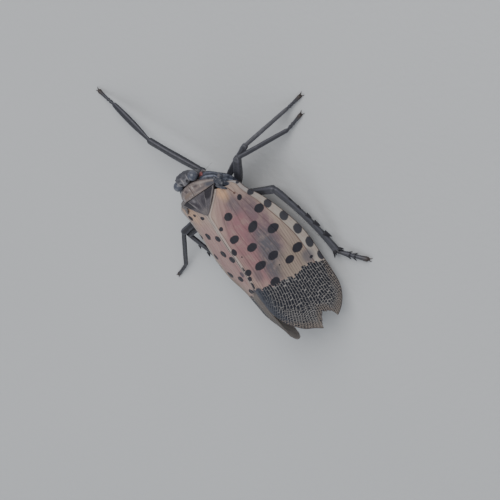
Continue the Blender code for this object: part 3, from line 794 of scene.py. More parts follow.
@dataclass(frozen=True)
class WingSkin(Finish):
    """A forewing's skin: washes of colour, spots, veins, and cells in a net behind the spots."""

    ground: tuple[float, ...] = paint(0.43, 0.33, 0.27)
    shade: tuple[float, ...] = paint(0.31, 0.23, 0.2)
    vein: tuple[float, ...] = paint(0.1, 0.07, 0.065)
    spot: tuple[float, ...] = paint(0.025, 0.024, 0.032)
    net_cell: tuple[float, ...] = paint(0.016, 0.017, 0.026)
    net_vein: tuple[float, ...] = paint(0.255, 0.245, 0.235)
    net_slate: tuple[float, ...] = paint(0.066, 0.071, 0.088)
    net_brown: tuple[float, ...] = paint(0.24, 0.2, 0.17)
    rim: tuple[float, ...] = paint(0.04, 0.03, 0.032)
    hem: tuple[float, ...] = paint(0.36, 0.31, 0.28)
    costal: tuple[float, ...] = paint(0.37, 0.335, 0.3)
    costal_root: tuple[float, ...] = paint(0.35, 0.335, 0.33)
    plain: tuple[float, ...] = paint(0.15, 0.125, 0.11)
    # The lower face's flat colour, lighter than that face shows in its shade: painted light
    underside: tuple[float, ...] = paint(0.36, 0.315, 0.29)
    # How wide the plain brown strip beside the seam is behind the net's front
    strip: float = -3.0
    washes: tuple[Wash, ...] = ()
    late_washes: tuple[Wash, ...] = ()
    spots: tuple[Mark, ...] = ()
    veins: tuple[float, ...] = ()
    costal_vein: float = 0.86

    def surface(self, plan: Plan) -> tuple[Feed, Feed, Feed]:
        place = plan.fact("wing_place")
        fraction, along, _ = plan.split(plan.fact("wing_fan"))
        inner, outer, below = plan.split(plan.fact("wing_edge"))
        _, rows, depth = plan.split(plan.fact("net_cells"))
        stray = plan.add("ShaderNodeTexNoise", {"Vector": place, "Scale": 2.4, "Detail": 3.0}).outputs["Color"]
        offset = plan.vector("SUBTRACT", stray, (0.5, 0.5, 0.5))
        loose = plan.vector("MULTIPLY", plan.vector("ADD", place, plan.scaled(offset, 0.5)), (1.0, 1.0, 0.0))
        flat = plan.vector("MULTIPLY", plan.vector("ADD", place, plan.scaled(offset, 0.16)), (1.0, 1.0, 0.0))

        streaks = plan.effect(Effect.STREAKS, {"Fraction": fraction, "Along": along, "Count": 26.0, "Width": 0.13})
        colour = plan.blend(plan.slide(streaks.outputs["Tint"], 0.3, 0.7), self.ground, self.shade)
        for wash in self.washes:
            colour = plan.blend(self.soft_patch(plan, loose, wash), colour, wash.colour)
        past_vein = plan.slide(fraction, self.costal_vein - 0.005, self.costal_vein + 0.012)
        costal = plan.blend(plan.slide(along, 6.6, 4.6), self.costal, self.costal_root)
        colour = plan.blend(plan.math("MULTIPLY", past_vein, 0.85), colour, costal)
        colour = plan.blend(self.mottle(plan, place, fraction, along), colour, self.shade)
        lines = self.main_veins(plan, fraction, along)
        colour = plan.blend(plan.math("MULTIPLY", self.fine_lines(plan, rows, along, past_vein), 0.6), colour, self.vein)
        colour = plan.blend(plan.math("MULTIPLY", streaks.outputs["Lines"], 0.3), colour, self.vein)
        colour = plan.blend(plan.math("MULTIPLY", lines, 0.25), colour, self.vein)
        off_costal = plan.math("ABSOLUTE", plan.math("SUBTRACT", fraction, self.costal_vein))
        colour = plan.blend(plan.slide(off_costal, 0.011, 0.003, 0.0, 0.55), colour, BROWN)
        colour = self.edged(plan, colour, inner, along)
        for wash in self.late_washes:
            colour = plan.blend(self.soft_patch(plan, flat, wash), colour, wash.colour)
        colour = plan.blend(self.all_spots(plan, flat), colour, self.spot)
        colour, net = self.net(plan, colour, place, outer)
        colour = plan.blend(plan.math("MULTIPLY", plan.slide(outer, 0.13, 0.04), 0.9), colour, self.rim)
        # Painted light: the lower face is painted a flat lighter brown to lift the shade that falls on it
        colour = plan.blend(plan.math("MULTIPLY", below, 0.85), colour, self.underside)

        grain = plan.effect(Effect.GRAIN, {"Place": plan.millimetres(), "Size": 0.09})
        front_of_net = plan.slide(depth, 0.2, -0.4)
        height = plan.math("MULTIPLY_ADD", grain.outputs["Height"], 0.35, net)
        height = plan.math("MULTIPLY_ADD", plan.math("MULTIPLY", lines, front_of_net), 0.8, height)
        height = plan.math("MULTIPLY_ADD", streaks.outputs["Lines"], 0.4, height)
        roughness = plan.slide(grain.outputs["Wear"], 0.3, 0.7, self.roughness - 0.06, self.roughness + 0.1)
        return colour, roughness, height

    @staticmethod
    def soft_patch(plan: Plan, flat: Feed, wash: Wash) -> Feed:
        """How strongly a wash shows.

        Args:
            plan: The material's tree.
            flat: The place on the wing.
            wash: The wash.

        Returns:
            The share of its colour.
        """
        inputs = {
            "Place": flat,
            "Centre": (wash.y, wash.s, 0.0),
            "Radii": (wash.along, wash.across, 1.0),
            "Tilt": math.radians(wash.tilt),
            "Softness": wash.softness,
        }
        return plan.math("MULTIPLY", plan.effect(Effect.OVAL, inputs).outputs["Mask"], wash.strength)

    @staticmethod
    def mottle(plan: Plan, place: Feed, fraction: Feed, along: Feed) -> Feed:
        """Cloudy darker flecks that run with the wing.

        Args:
            plan: The material's tree.
            place: The place on the wing.
            fraction: The share of the wing's width.
            along: The place along the body.

        Returns:
            The share of the darker colour.
        """
        cloud = plan.slide(plan.noise(place, 1.1, 3.0), 0.48, 0.72, 0.0, 0.45)
        drawn = plan.gather(plan.math("MULTIPLY", fraction, 34.0), plan.math("MULTIPLY", along, 0.8))
        return plan.math("MAXIMUM", cloud, plan.slide(plan.noise(drawn, 1.0, 3.0), 0.5, 0.75, 0.0, 0.5))

    @staticmethod
    def fine_lines(plan: Plan, rows: Feed, along: Feed, past_vein: Feed) -> Feed:
        """The faint veins in front of the net, which run on into its rows.

        Args:
            plan: The material's tree.
            rows: The place across the wing, counted in the net's rows.
            along: The place along the body.
            past_vein: One beyond the costal vein.

        Returns:
            One on a line and zero beside it.
        """
        line = plan.slide(plan.math("PINGPONG", rows, 0.5), 0.2, 0.04)
        grown = plan.slide(along, 7.0, 13.5)
        patchy = plan.slide(plan.noise(plan.gather(plan.math("MULTIPLY", rows, 0.5), along), 0.5, 2.0), 0.35, 0.6)
        open_field = plan.math("SUBTRACT", 1.0, past_vein)
        return plan.math("MULTIPLY", plan.math("MULTIPLY", line, grown), plan.math("MULTIPLY", patchy, open_field))

    def edged(self, plan: Plan, colour: Feed, inner: Feed, along: Feed) -> Feed:
        """Draw the dark seam and the pale hem along the inner margin.

        Args:
            plan: The material's tree.
            colour: The colour so far.
            inner: The distance from the inner margin.
            along: The place along the body.

        Returns:
            The colour.
        """
        hem = plan.math("MULTIPLY", plan.slide(inner, 0.38, 0.28), plan.slide(along, 15.5, 14.5, 0.0, 0.8))
        colour = plan.blend(hem, colour, self.hem)
        line = plan.math("ABSOLUTE", plan.math("SUBTRACT", inner, 0.42))
        colour = plan.blend(plan.math("MULTIPLY", plan.slide(line, 0.06, 0.015), 0.6), colour, self.vein)
        rim = plan.math("MULTIPLY", plan.slide(inner, 0.13, 0.05), plan.slide(along, 6.5, 8.0, 0.45, 0.85))
        return plan.blend(rim, colour, self.rim)

    def all_spots(self, plan: Plan, flat: Feed) -> Feed:
        """The spots as one mask.

        Args:
            plan: The material's tree.
            flat: The place on the wing.

        Returns:
            One inside a spot and zero outside.
        """
        total: Feed = 0.0
        for spot in self.spots:
            inputs = {
                "Place": flat,
                "Centre": (spot.y, spot.s, 0.0),
                "Radii": (spot.along, spot.across, 1.0),
                "Tilt": math.radians(spot.tilt),
                "Softness": 0.09,
            }
            total = plan.math("MAXIMUM", total, plan.effect(Effect.OVAL, inputs).outputs["Mask"])
        return total

    def main_veins(self, plan: Plan, fraction: Feed, along: Feed) -> Feed:
        """The main veins as thin lines.

        Args:
            plan: The material's tree.
            fraction: The share of the wing's width.
            along: The place along the body.

        Returns:
            One on a vein and zero beside it.
        """
        total: Feed = 0.0
        sway = plan.math("SUBTRACT", plan.noise(plan.gather(along, 0.0), 0.35, 1.0), 0.5)
        bent = plan.math("MULTIPLY_ADD", sway, 0.02, fraction)
        for vein in self.veins:
            off = plan.math("ABSOLUTE", plan.math("SUBTRACT", bent, vein))
            total = plan.math("MAXIMUM", total, plan.slide(off, 0.0075, 0.0025))
        return total

    def net(self, plan: Plan, colour: Feed, place: Feed, outer: Feed) -> tuple[Feed, Feed]:
        """Lay the net of pale veins and black cells over the rear of the wing.

        Args:
            plan: The material's tree.
            colour: The colour without the net.
            place: The place on the wing.
            outer: The distance from the outer margin.

        Returns:
            The colour with the net, and the height of its veins.
        """
        at = plan.fact("net_cells")
        cells = plan.effect(Effect.CELLS, {"Cells": at, "Pitch": plan.fact("net_pitch"), "Vein": 0.03})
        veins, fine = cells.outputs
        _, row, depth = plan.split(at)
        y, s, _ = plan.split(place)
        cloudy = plan.noise(place, 1.6, 3.0)
        seam_side = plan.math("MULTIPLY_ADD", plan.math("SUBTRACT", cloudy, 0.5), 1.2, s)
        vein_colour = plan.blend(plan.slide(plan.noise(place, 5.0, 2.0), 0.3, 0.7), self.net_vein, paint(0.19, 0.18, 0.175))
        vein_colour = plan.blend(plan.slide(seam_side, 1.5, 0.1, 0.0, 0.85), vein_colour, self.net_slate)
        cell_colour = plan.blend(plan.slide(seam_side, 1.6, 0.2), self.net_cell, paint(0.028, 0.032, 0.045))
        fringe = plan.math("MULTIPLY", plan.slide(outer, 1.5, 0.5), fine)
        vein_colour = plan.blend(plan.math("MULTIPLY", fringe, 0.8), vein_colour, self.net_brown)
        netted = plan.blend(veins, cell_colour, vein_colour)
        strip = plan.math("MULTIPLY", plan.slide(seam_side, 0.35, -0.1), 0.9)
        netted = plan.blend(strip, netted, self.net_slate)
        plain = plan.slide(seam_side, self.strip + 0.4, self.strip, 0.0, 0.93)
        dusk = plan.blend(plan.slide(y, 16.5, 20.5), self.plain, paint(0.1, 0.087, 0.077))
        netted = plan.blend(plain, netted, dusk)
        ragged = plan.math("SUBTRACT", plan.chance(plan.math("ADD", plan.math("FLOOR", row), 0.71)), 0.5)
        inside = plan.slide(plan.math("MULTIPLY_ADD", ragged, 0.45, depth), -0.04, 0.03)
        height = plan.math("MULTIPLY", plan.math("MULTIPLY", veins, inside), 0.9)
        return plan.blend(inside, colour, netted), height


@dataclass(frozen=True)
class HindwingSkin(Finish):
    """A hind wing's skin: scarlet with black spots, a white band, and a black end with fine veins."""

    scarlet: tuple[float, ...] = paint(0.5, 0.045, 0.035)
    white: tuple[float, ...] = paint(0.6, 0.57, 0.52)
    black: tuple[float, ...] = paint(0.025, 0.022, 0.025)
    band_start: float = 12.4
    band_end: float = 13.6
    spots: tuple[Mark, ...] = (
        Mark(8.0, 2.2, 0.45, 0.4),
        Mark(9.4, 3.6, 0.5, 0.45),
        Mark(10.2, 2.0, 0.45, 0.4),
        Mark(10.9, 4.9, 0.5, 0.42),
        Mark(11.7, 3.1, 0.5, 0.4),
        Mark(8.6, 4.6, 0.4, 0.36),
    )

    def surface(self, plan: Plan) -> tuple[Feed, Feed, Feed]:
        place = plan.fact("wing_place")
        fraction, along, _ = plan.split(plan.fact("wing_fan"))
        y, _, _ = plan.split(place)
        wave = plan.math("MULTIPLY", plan.math("SUBTRACT", plan.noise(place, 0.8, 2.0), 0.5), 1.2)
        bent = plan.math("ADD", y, wave)
        streaks = plan.effect(Effect.STREAKS, {"Fraction": fraction, "Along": along, "Count": 16.0, "Width": 0.12})
        colour = plan.blend(plan.slide(streaks.outputs["Tint"], 0.3, 0.7), self.scarlet, paint(0.36, 0.03, 0.03))
        total: Feed = 0.0
        for spot in self.spots:
            inputs = {
                "Place": plan.vector("MULTIPLY", place, (1.0, 1.0, 0.0)),
                "Centre": (spot.y, spot.s, 0.0),
                "Radii": (spot.along, spot.across, 1.0),
                "Tilt": 0.0,
                "Softness": 0.1,
            }
            total = plan.math("MAXIMUM", total, plan.effect(Effect.OVAL, inputs).outputs["Mask"])
        colour = plan.blend(total, colour, self.black)
        colour = plan.blend(plan.slide(bent, self.band_start - 0.2, self.band_start + 0.2), colour, self.white)
        colour = plan.blend(plan.slide(bent, self.band_end - 0.2, self.band_end + 0.2), colour, self.black)
        colour = plan.blend(plan.math("MULTIPLY", streaks.outputs["Lines"], 0.5), colour, paint(0.12, 0.05, 0.05))
        return colour, self.roughness, streaks.outputs["Lines"]


@dataclass(frozen=True)
class TrunkSkin(Finish):
    """The body's skin: black in front, then yellow with a black band on each ring of the abdomen."""

    black: tuple[float, ...] = paint(0.03, 0.03, 0.034)
    yellow: tuple[float, ...] = paint(0.55, 0.37, 0.06)
    wax: tuple[float, ...] = paint(0.42, 0.4, 0.36)
    red: tuple[float, ...] = paint(0.42, 0.05, 0.03)

    def surface(self, plan: Plan) -> tuple[Feed, Feed, Feed]:
        rings, round_body, y = plan.split(plan.fact("trunk_place"))
        place = plan.millimetres()
        grain = plan.effect(Effect.GRAIN, {"Place": place, "Size": 0.08})
        bloom = plan.effect(Effect.BLOOM, {"Place": place, "Size": 0.7, "Cover": 0.35})
        sway = plan.math("MULTIPLY", plan.math("SUBTRACT", plan.noise(place, 1.2, 2.0), 0.5), 0.25)
        in_ring = plan.math("FRACT", rings)
        # The black band covers the front of each ring on the back and the belly, and thins towards the sides
        flank = plan.math("ABSOLUTE", round_body)
        reach = plan.math("ADD", plan.math("SUBTRACT", 0.86, plan.math("MULTIPLY", flank, 0.75)), sway)
        band = plan.slide(plan.math("SUBTRACT", in_ring, reach), 0.05, -0.05)
        colour = plan.blend(band, self.yellow, self.black)
        colour = plan.blend(plan.slide(y, 16.0, 16.5), colour, self.red)
        colour = plan.blend(plan.slide(y, 5.7, 5.2), colour, self.black)
        colour = plan.blend(plan.math("MULTIPLY", bloom.outputs["Mask"], 0.3), colour, self.wax)
        return colour, self.roughness, grain.outputs["Height"]


@dataclass(frozen=True)
class Ground(Finish):
    """The pale floor, faintly uneven."""

    colour: tuple[float, ...] = paint(0.5, 0.51, 0.525)

    def surface(self, plan: Plan) -> tuple[Feed, Feed, Feed]:
        place = plan.millimetres()
        patches = plan.noise(place, 0.02, 2.0)
        colour = plan.blend(plan.slide(patches, 0.3, 0.7, 0.0, 0.4), self.colour, paint(0.465, 0.475, 0.49))
        return colour, self.roughness, plan.noise(place, 1.5, 2.0)


PINK = paint(0.24, 0.115, 0.132)
DUSKY = paint(0.16, 0.1, 0.118)
ROSE = paint(0.37, 0.222, 0.215)
SLATE = paint(0.1, 0.096, 0.112)
BEIGE = paint(0.265, 0.215, 0.175)
ROOT_TAN = paint(0.56, 0.34, 0.21)
SEAM_BLUE = paint(0.035, 0.042, 0.062)
COSTAL_SPOT = paint(0.028, 0.03, 0.042)

WING_VEINS = (0.13, 0.26, 0.4, 0.55, 0.7, 0.86)

RIGHT_WING_SKIN = WingSkin(
    name="right_forewing_skin",
    slot="forewing_tan",
    roughness=0.55,
    shine=0.25,
    bump_depth=0.03,
    veins=WING_VEINS,
    washes=(
        Wash(10.4, 2.1, 6.0, 2.1, PINK, 0.85, 0.45),
        Wash(8.0, 3.6, 3.4, 1.7, PINK, 0.7, 0.5),
        Wash(10.0, 4.7, 4.2, 1.4, DUSKY, 0.9, 0.42),
        Wash(12.9, 3.7, 3.2, 1.4, SLATE, 0.92, 0.45, 10),
        Wash(11.4, 4.0, 1.5, 0.9, SLATE, 0.4, 0.6),
        Wash(14.4, 2.9, 1.3, 0.8, SLATE, 0.6, 0.5),
        Wash(10.7, 3.5, 1.6, 0.7, SLATE, 0.5, 0.6),
        Wash(9.9, 2.8, 0.9, 0.6, DUSKY, 0.5, 0.6),
        Wash(13.9, 1.05, 0.9, 0.5, SLATE, 0.55, 0.6),
        Wash(15.2, 5.5, 1.9, 1.9, BEIGE, 0.85, 0.5),
        Wash(12.5, 6.6, 3.0, 1.0, BEIGE, 0.6, 0.5),
        Wash(3.5, 2.75, 1.1, 0.55, ROOT_TAN, 0.9, 0.5),
        Wash(5.3, 3.1, 1.2, 0.8, SLATE, 0.7, 0.6),
        Wash(6.2, 4.6, 1.3, 0.9, SLATE, 0.35, 0.6),
        Wash(6.6, 1.2, 0.6, 0.35, SLATE, 0.3, 0.6),
    ),
    late_washes=(
        Wash(15.6, 7.4, 0.85, 0.75, SLATE, 0.75, 0.5),
        Wash(15.62, 0.05, 0.5, 0.45, SEAM_BLUE, 0.95, 0.25),
        Wash(3.75, 3.8, 0.55, 0.07, BROWN, 0.75, 0.4, -18.6),
        Wash(4.22, 3.97, 0.16, 0.14, BROWN, 0.85, 0.4),
        Wash(3.34, 5.0, 0.2, 0.24, COSTAL_SPOT, 0.95, 0.15),
        Wash(5.23, 5.62, 0.38, 0.45, COSTAL_SPOT, 0.95, 0.12),
        Wash(7.59, 6.62, 0.52, 0.5, COSTAL_SPOT, 0.95, 0.12),
        Wash(9.92, 7.45, 0.6, 0.55, COSTAL_SPOT, 0.95, 0.12),
        Wash(12.16, 7.98, 0.66, 0.53, COSTAL_SPOT, 0.95, 0.12),
        Wash(14.36, 8.42, 0.67, 0.5, COSTAL_SPOT, 0.95, 0.12),
        Wash(16.47, 8.78, 0.6, 0.42, COSTAL_SPOT, 0.95, 0.12),
    ),
    spots=(
        Mark(6.19, 1.83, 0.49, 0.52),
        Mark(6.91, 0.35, 0.26, 0.25),
        Mark(7.45, 5.45, 0.53, 0.6),
        Mark(8.79, 3.65, 0.5, 0.74, -27),
        Mark(10.36, 5.54, 0.52, 0.76),
        Mark(8.79, 1.0, 0.46, 0.58),
        Mark(10.75, 2.21, 0.48, 0.65),
        Mark(13.02, 3.78, 0.49, 0.7),
        Mark(13.12, 1.88, 0.48, 0.74),
        Mark(13.98, 6.78, 0.54, 0.72),
        Mark(14.6, 5.26, 0.45, 0.6),
        Mark(10.04, 0.12, 0.44, 0.3),
        Mark(13.01, 0.18, 0.4, 0.4),
        Mark(13.72, -0.02, 0.3, 0.26),
        Mark(15.72, 2.39, 0.48, 0.64),
        Mark(5.03, 4.19, 0.3, 0.37, -55),
        Mark(15.94, 7.66, 0.18, 0.26),
        Mark(16.3, 6.3, 0.08, 0.09),
        Mark(11.01, 0.57, 0.1, 0.1),
        Mark(14.4, 3.89, 0.09, 0.09),
        Mark(14.6, -0.1, 0.45, 0.13),
        Mark(12.35, -0.05, 0.3, 0.1),
    ),
)

LEFT_WING_SKIN = WingSkin(
    name="left_forewing_skin",
    slot="forewing_tan",
    roughness=0.55,
    shine=0.25,
    bump_depth=0.03,
    veins=WING_VEINS,
    strip=2.7,
    washes=(
        Wash(10.3, 2.6, 4.9, 3.4, ROSE, 0.75, 0.45),
        Wash(11.0, 0.9, 3.4, 1.1, PINK, 0.35, 0.5),
        Wash(10.8, 5.0, 3.0, 1.3, PINK, 0.3, 0.5),
        Wash(3.9, 3.2, 1.5, 1.2, ROOT_TAN, 0.5, 0.5),
    ),
    late_washes=(
        Wash(12.91, 0.87, 0.36, 0.5, SEAM_BLUE, 0.75, 0.35),
        Wash(15.6, 0.1, 0.6, 0.5, SEAM_BLUE, 0.9, 0.3),
        Wash(16.5, 7.0, 3.5, 3.4, paint(0.17, 0.135, 0.11), 0.8, 0.5),
    ),
    spots=(
        Mark(4.39, 4.38, 0.4, 0.45, 12),
        Mark(4.2, 2.79, 0.18, 0.34),
        Mark(4.83, 1.43, 0.24, 0.5),
        Mark(7.24, 3.41, 0.45, 0.78),
        Mark(7.79, 0.98, 0.4, 0.68),
        Mark(9.83, 2.27, 0.48, 0.7),
        Mark(10.78, 0.85, 0.42, 0.78),
        Mark(12.89, 5.33, 0.45, 1.1),
        Mark(13.51, 2.24, 0.4, 0.85),
        Mark(15.41, 1.38, 0.42, 0.85),
        Mark(10.2, 5.9, 0.45, 0.6),
        Mark(9.3, 8.0, 0.45, 0.5),
        Mark(7.2, 6.6, 0.4, 0.45),
        Mark(11.7, 8.1, 0.5, 0.4),
        Mark(14.3, 8.3, 0.5, 0.4),
    ),
)

HINDWING_SKIN = HindwingSkin("hindwing_skin", "hindwing_red", roughness=0.45, gloss=0.1)
TRUNK_SKIN = TrunkSkin("trunk_skin", "abdomen_yellow", roughness=0.5)
LEG_SKIN = LegCuticle(
    "leg_skin",
    "dark_chitin",
    roughness=0.45,
    gloss=0.04,
    shine=0.35,
    colour=paint(0.031, 0.0315, 0.039),
    pale=paint(0.072, 0.072, 0.09),
    cover=0.35,
    bloom_size=0.5,
    grain_size=0.06,
)
# Painted light: the right legs get a lighter copy of the leg skin, as if more light fell on that side
RIGHT_LEG_PAINTED_LIGHT_SKIN = replace(
    LEG_SKIN, name="right_leg_skin", colour=paint(0.044, 0.0445, 0.054), pale=paint(0.1, 0.1, 0.12)
)
# Painted shade: the left midleg gets a darker copy of the leg skin, as if it lay in shade
LEFT_MIDLEG_PAINTED_SHADE_SKIN = replace(
    LEG_SKIN, name="left_midleg_skin", colour=paint(0.022, 0.0225, 0.028), pale=paint(0.048, 0.048, 0.06)
)
SPINE_SKIN = Cuticle(
    "spine_horn",
    "dark_chitin",
    roughness=0.4,
    gloss=0.08,
    shine=0.35,
    colour=paint(0.018, 0.017, 0.022),
    pale=paint(0.05, 0.04, 0.042),
    cover=0.25,
    bloom_size=0.2,
    grain_size=0.04,
    bump_depth=0.008,
)
CLAW_SKIN = Cuticle(
    "claw_horn",
    "dark_chitin",
    roughness=0.3,
    gloss=0.3,
    colour=paint(0.03, 0.02, 0.017),
    pale=paint(0.06, 0.042, 0.032),
    cover=0.3,
    bloom_size=0.2,
    grain_size=0.04,
    bump_depth=0.008,
)
HEAD_SKIN = PlateCuticle(
    "head_skin",
    "grey_head",
    roughness=0.5,
    gloss=0.03,
    shine=0.35,
    colour=paint(0.055, 0.055, 0.068),
    pale=paint(0.13, 0.13, 0.145),
    cover=0.35,
    bloom_size=0.45,
    grain_size=0.06,
    bump_depth=0.02,
    # The dark marks in the two pits and in the two hollows ahead of them are painted shade; the thin pale marks along
    # the middle keel, the side keels and the rear rim are painted highlights
    marks=(
        PlateMark(0.0, -0.15, 0.95, 0.55, paint(0.15, 0.145, 0.16), 0.5, 0.7),
        PlateMark(-0.55, 0.1, 0.27, 0.24, paint(0.022, 0.02, 0.026), 0.35),
        PlateMark(0.58, 0.1, 0.27, 0.24, paint(0.022, 0.02, 0.026), 0.35),
        PlateMark(-0.45, -0.5, 0.3, 0.14, paint(0.04, 0.04, 0.05), 0.5, 0.8),
        PlateMark(0.45, -0.5, 0.3, 0.14, paint(0.04, 0.04, 0.05), 0.5, 0.8),
        PlateMark(0.05, -0.1, 0.09, 0.5, paint(0.27, 0.25, 0.255), 0.5, 0.9, 8),
        PlateMark(-0.8, -0.2, 0.07, 0.42, paint(0.24, 0.23, 0.24), 0.6, 0.8, 12),
        PlateMark(0.8, -0.2, 0.07, 0.42, paint(0.24, 0.23, 0.24), 0.6, 0.8, -12),
        PlateMark(0.0, 0.38, 0.75, 0.05, paint(0.2, 0.18, 0.18), 0.6, 0.6),
    ),
)
COLLAR_SKIN = PlateCuticle(
    "collar_skin",
    "grey_collar",
    roughness=0.62,
    shine=0.25,
    colour=paint(0.185, 0.148, 0.14),
    pale=paint(0.33, 0.29, 0.275),
    cover=0.47,
    bloom_size=0.32,
    grain_size=0.07,
    bump_depth=0.04,
    marks=(
        PlateMark(0.0, 0.5, 0.02, 0.6, paint(0.05, 0.04, 0.042), 0.5, 0.9),
        PlateMark(0.035, 0.5, 0.02, 0.6, paint(0.33, 0.29, 0.27), 0.5, 0.6),
        PlateMark(-0.3, 0.34, 0.1, 0.16, paint(0.07, 0.055, 0.06), 0.6, 0.8, 20),
        PlateMark(0.3, 0.34, 0.1, 0.16, paint(0.07, 0.055, 0.06), 0.6, 0.8, -20),
        PlateMark(-0.45, 0.72, 0.34, 0.1, paint(0.11, 0.095, 0.1), 0.6, 0.7, -8),
        PlateMark(0.4, 0.62, 0.3, 0.14, paint(0.17, 0.12, 0.09), 0.6, 0.6, 10),
        PlateMark(-0.6, 0.25, 0.3, 0.12, paint(0.31, 0.27, 0.25), 0.6, 0.6, 10),
        PlateMark(-0.83, 0.7, 0.16, 0.34, paint(0.07, 0.075, 0.095), 0.5, 0.85, -15),
        PlateMark(0.86, 0.5, 0.15, 0.5, paint(0.34, 0.31, 0.31), 0.6, 0.75),
        # The thin dark lines along the rear edge and the front edge are painted shadow in the seams against the
        # scutellum and the head
        PlateMark(0.0, 0.985, 1.1, 0.02, paint(0.06, 0.052, 0.056), 0.5, 0.6),
        PlateMark(0.0, 0.02, 1.0, 0.03, paint(0.06, 0.05, 0.055), 0.5, 0.8),
    ),
)
SHIELD_SKIN = PlateCuticle(
    "shield_skin",
    "slate_shield",
    roughness=0.55,
    shine=0.3,
    colour=paint(0.085, 0.076, 0.087),
    pale=paint(0.19, 0.178, 0.19),
    cover=0.38,
    bloom_size=0.32,
    grain_size=0.07,
    bump_depth=0.05,
    marks=(
        PlateMark(-0.7, 0.14, 0.26, 0.24, paint(0.02, 0.018, 0.024), 0.3, 0.92),
        PlateMark(0.7, 0.14, 0.26, 0.24, paint(0.02, 0.018, 0.024), 0.3, 0.92),
        PlateMark(-0.3, 0.35, 0.14, 0.25, paint(0.035, 0.03, 0.04), 0.5, 0.8, 10),
        PlateMark(0.3, 0.35, 0.14, 0.25, paint(0.035, 0.03, 0.04), 0.5, 0.8, -10),
        PlateMark(0.0, 0.35, 0.025, 0.42, paint(0.17, 0.155, 0.16), 0.5, 0.7),
        PlateMark(-0.5, 0.3, 0.03, 0.35, paint(0.18, 0.165, 0.17), 0.5, 0.6),
        PlateMark(0.5, 0.3, 0.03, 0.35, paint(0.2, 0.185, 0.19), 0.5, 0.8),
        PlateMark(0.25, 0.12, 0.08, 0.08, paint(0.2, 0.185, 0.2), 0.6, 0.7, 30),
        PlateMark(0.0, 0.8, 0.7, 0.16, paint(0.17, 0.15, 0.148), 0.6, 0.75),
        PlateMark(-0.96, 0.5, 0.035, 0.6, paint(0.24, 0.215, 0.21), 0.5, 0.8),
        PlateMark(0.96, 0.5, 0.035, 0.6, paint(0.24, 0.215, 0.21), 0.5, 0.8),
        # The faint dark line along the front edge is painted shadow in the seam below the collar's rear edge
        PlateMark(0.0, 0.012, 1.0, 0.02, paint(0.05, 0.045, 0.052), 0.5, 0.4),
    ),
)
LOBE_SKIN = PlateCuticle(
    "lobe_skin",
    "grey_collar",
    roughness=0.45,
    gloss=0.05,
    shine=0.35,
    colour=paint(0.05, 0.055, 0.078),
    pale=paint(0.11, 0.115, 0.145),
    cover=0.35,
    bloom_size=0.25,
    grain_size=0.07,
    bump_depth=0.03,
    marks=(
        PlateMark(0.5, 0.0, 0.6, 0.05, paint(0.3, 0.27, 0.26), 0.5, 0.8),
        PlateMark(0.55, 0.2, 0.5, 0.05, paint(0.022, 0.024, 0.034), 0.5, 0.85),
        PlateMark(0.6, 0.42, 0.45, 0.07, paint(0.2, 0.215, 0.27), 0.6, 0.85),
        PlateMark(0.5, 0.62, 0.5, 0.06, paint(0.03, 0.034, 0.048), 0.6, 0.85),
        PlateMark(0.6, 0.82, 0.4, 0.05, paint(0.14, 0.15, 0.19), 0.6, 0.8),
        PlateMark(0.95, 0.5, 0.06, 0.5, paint(0.2, 0.19, 0.2), 0.6, 0.7),
    ),
)
FLANK_SKIN = PlateCuticle(
    "flank_skin",
    "dark_chitin",
    roughness=0.45,
    gloss=0.05,
    shine=0.35,
    colour=paint(0.04, 0.046, 0.066),
    pale=paint(0.19, 0.19, 0.22),
    cover=0.45,
    bloom_size=0.3,
    grain_size=0.09,
    bump_depth=0.06,
    marks=(
        PlateMark(0.75, 0.75, 0.4, 0.22, paint(0.045, 0.052, 0.078), 0.5, 0.9),
        PlateMark(0.72, 0.5, 0.35, 0.05, paint(0.2, 0.215, 0.27), 0.6, 0.8),
        PlateMark(0.8, 0.95, 0.3, 0.06, paint(0.12, 0.13, 0.17), 0.6, 0.6),
        PlateMark(0.97, 0.75, 0.05, 0.3, paint(0.012, 0.012, 0.016), 0.4, 0.9),
        PlateMark(0.35, 0.85, 0.3, 0.08, paint(0.14, 0.15, 0.19), 0.6, 0.7),
    ),
)
SIDE_SKIN = Cuticle(
    "side_skin",
    "dark_chitin",
    roughness=0.45,
    gloss=0.05,
    shine=0.35,
    colour=paint(0.042, 0.046, 0.063),
    pale=paint(0.21, 0.205, 0.22),
    cover=0.5,
    bloom_size=0.28,
    grain_size=0.09,
    bump_depth=0.06,
)
FLAP_SKIN = Cuticle(
    "flap_skin",
    "grey_collar",
    roughness=0.6,
    colour=paint(0.13, 0.12, 0.122),
    pale=paint(0.3, 0.28, 0.275),
    cover=0.5,
    bloom_size=0.3,
    grain_size=0.08,
    bump_depth=0.05,
)
EYE_SKIN = Facets("eye_lenses", "eye_black", roughness=0.22, gloss=0.25, bump_depth=0.006)
FEELER_SKIN = Rind("feeler_skin", "feeler_orange", roughness=0.5, gloss=0.02, bump_depth=0.03)
FLOOR = Ground("pale_floor", "", roughness=0.85, bump_depth=0.05)


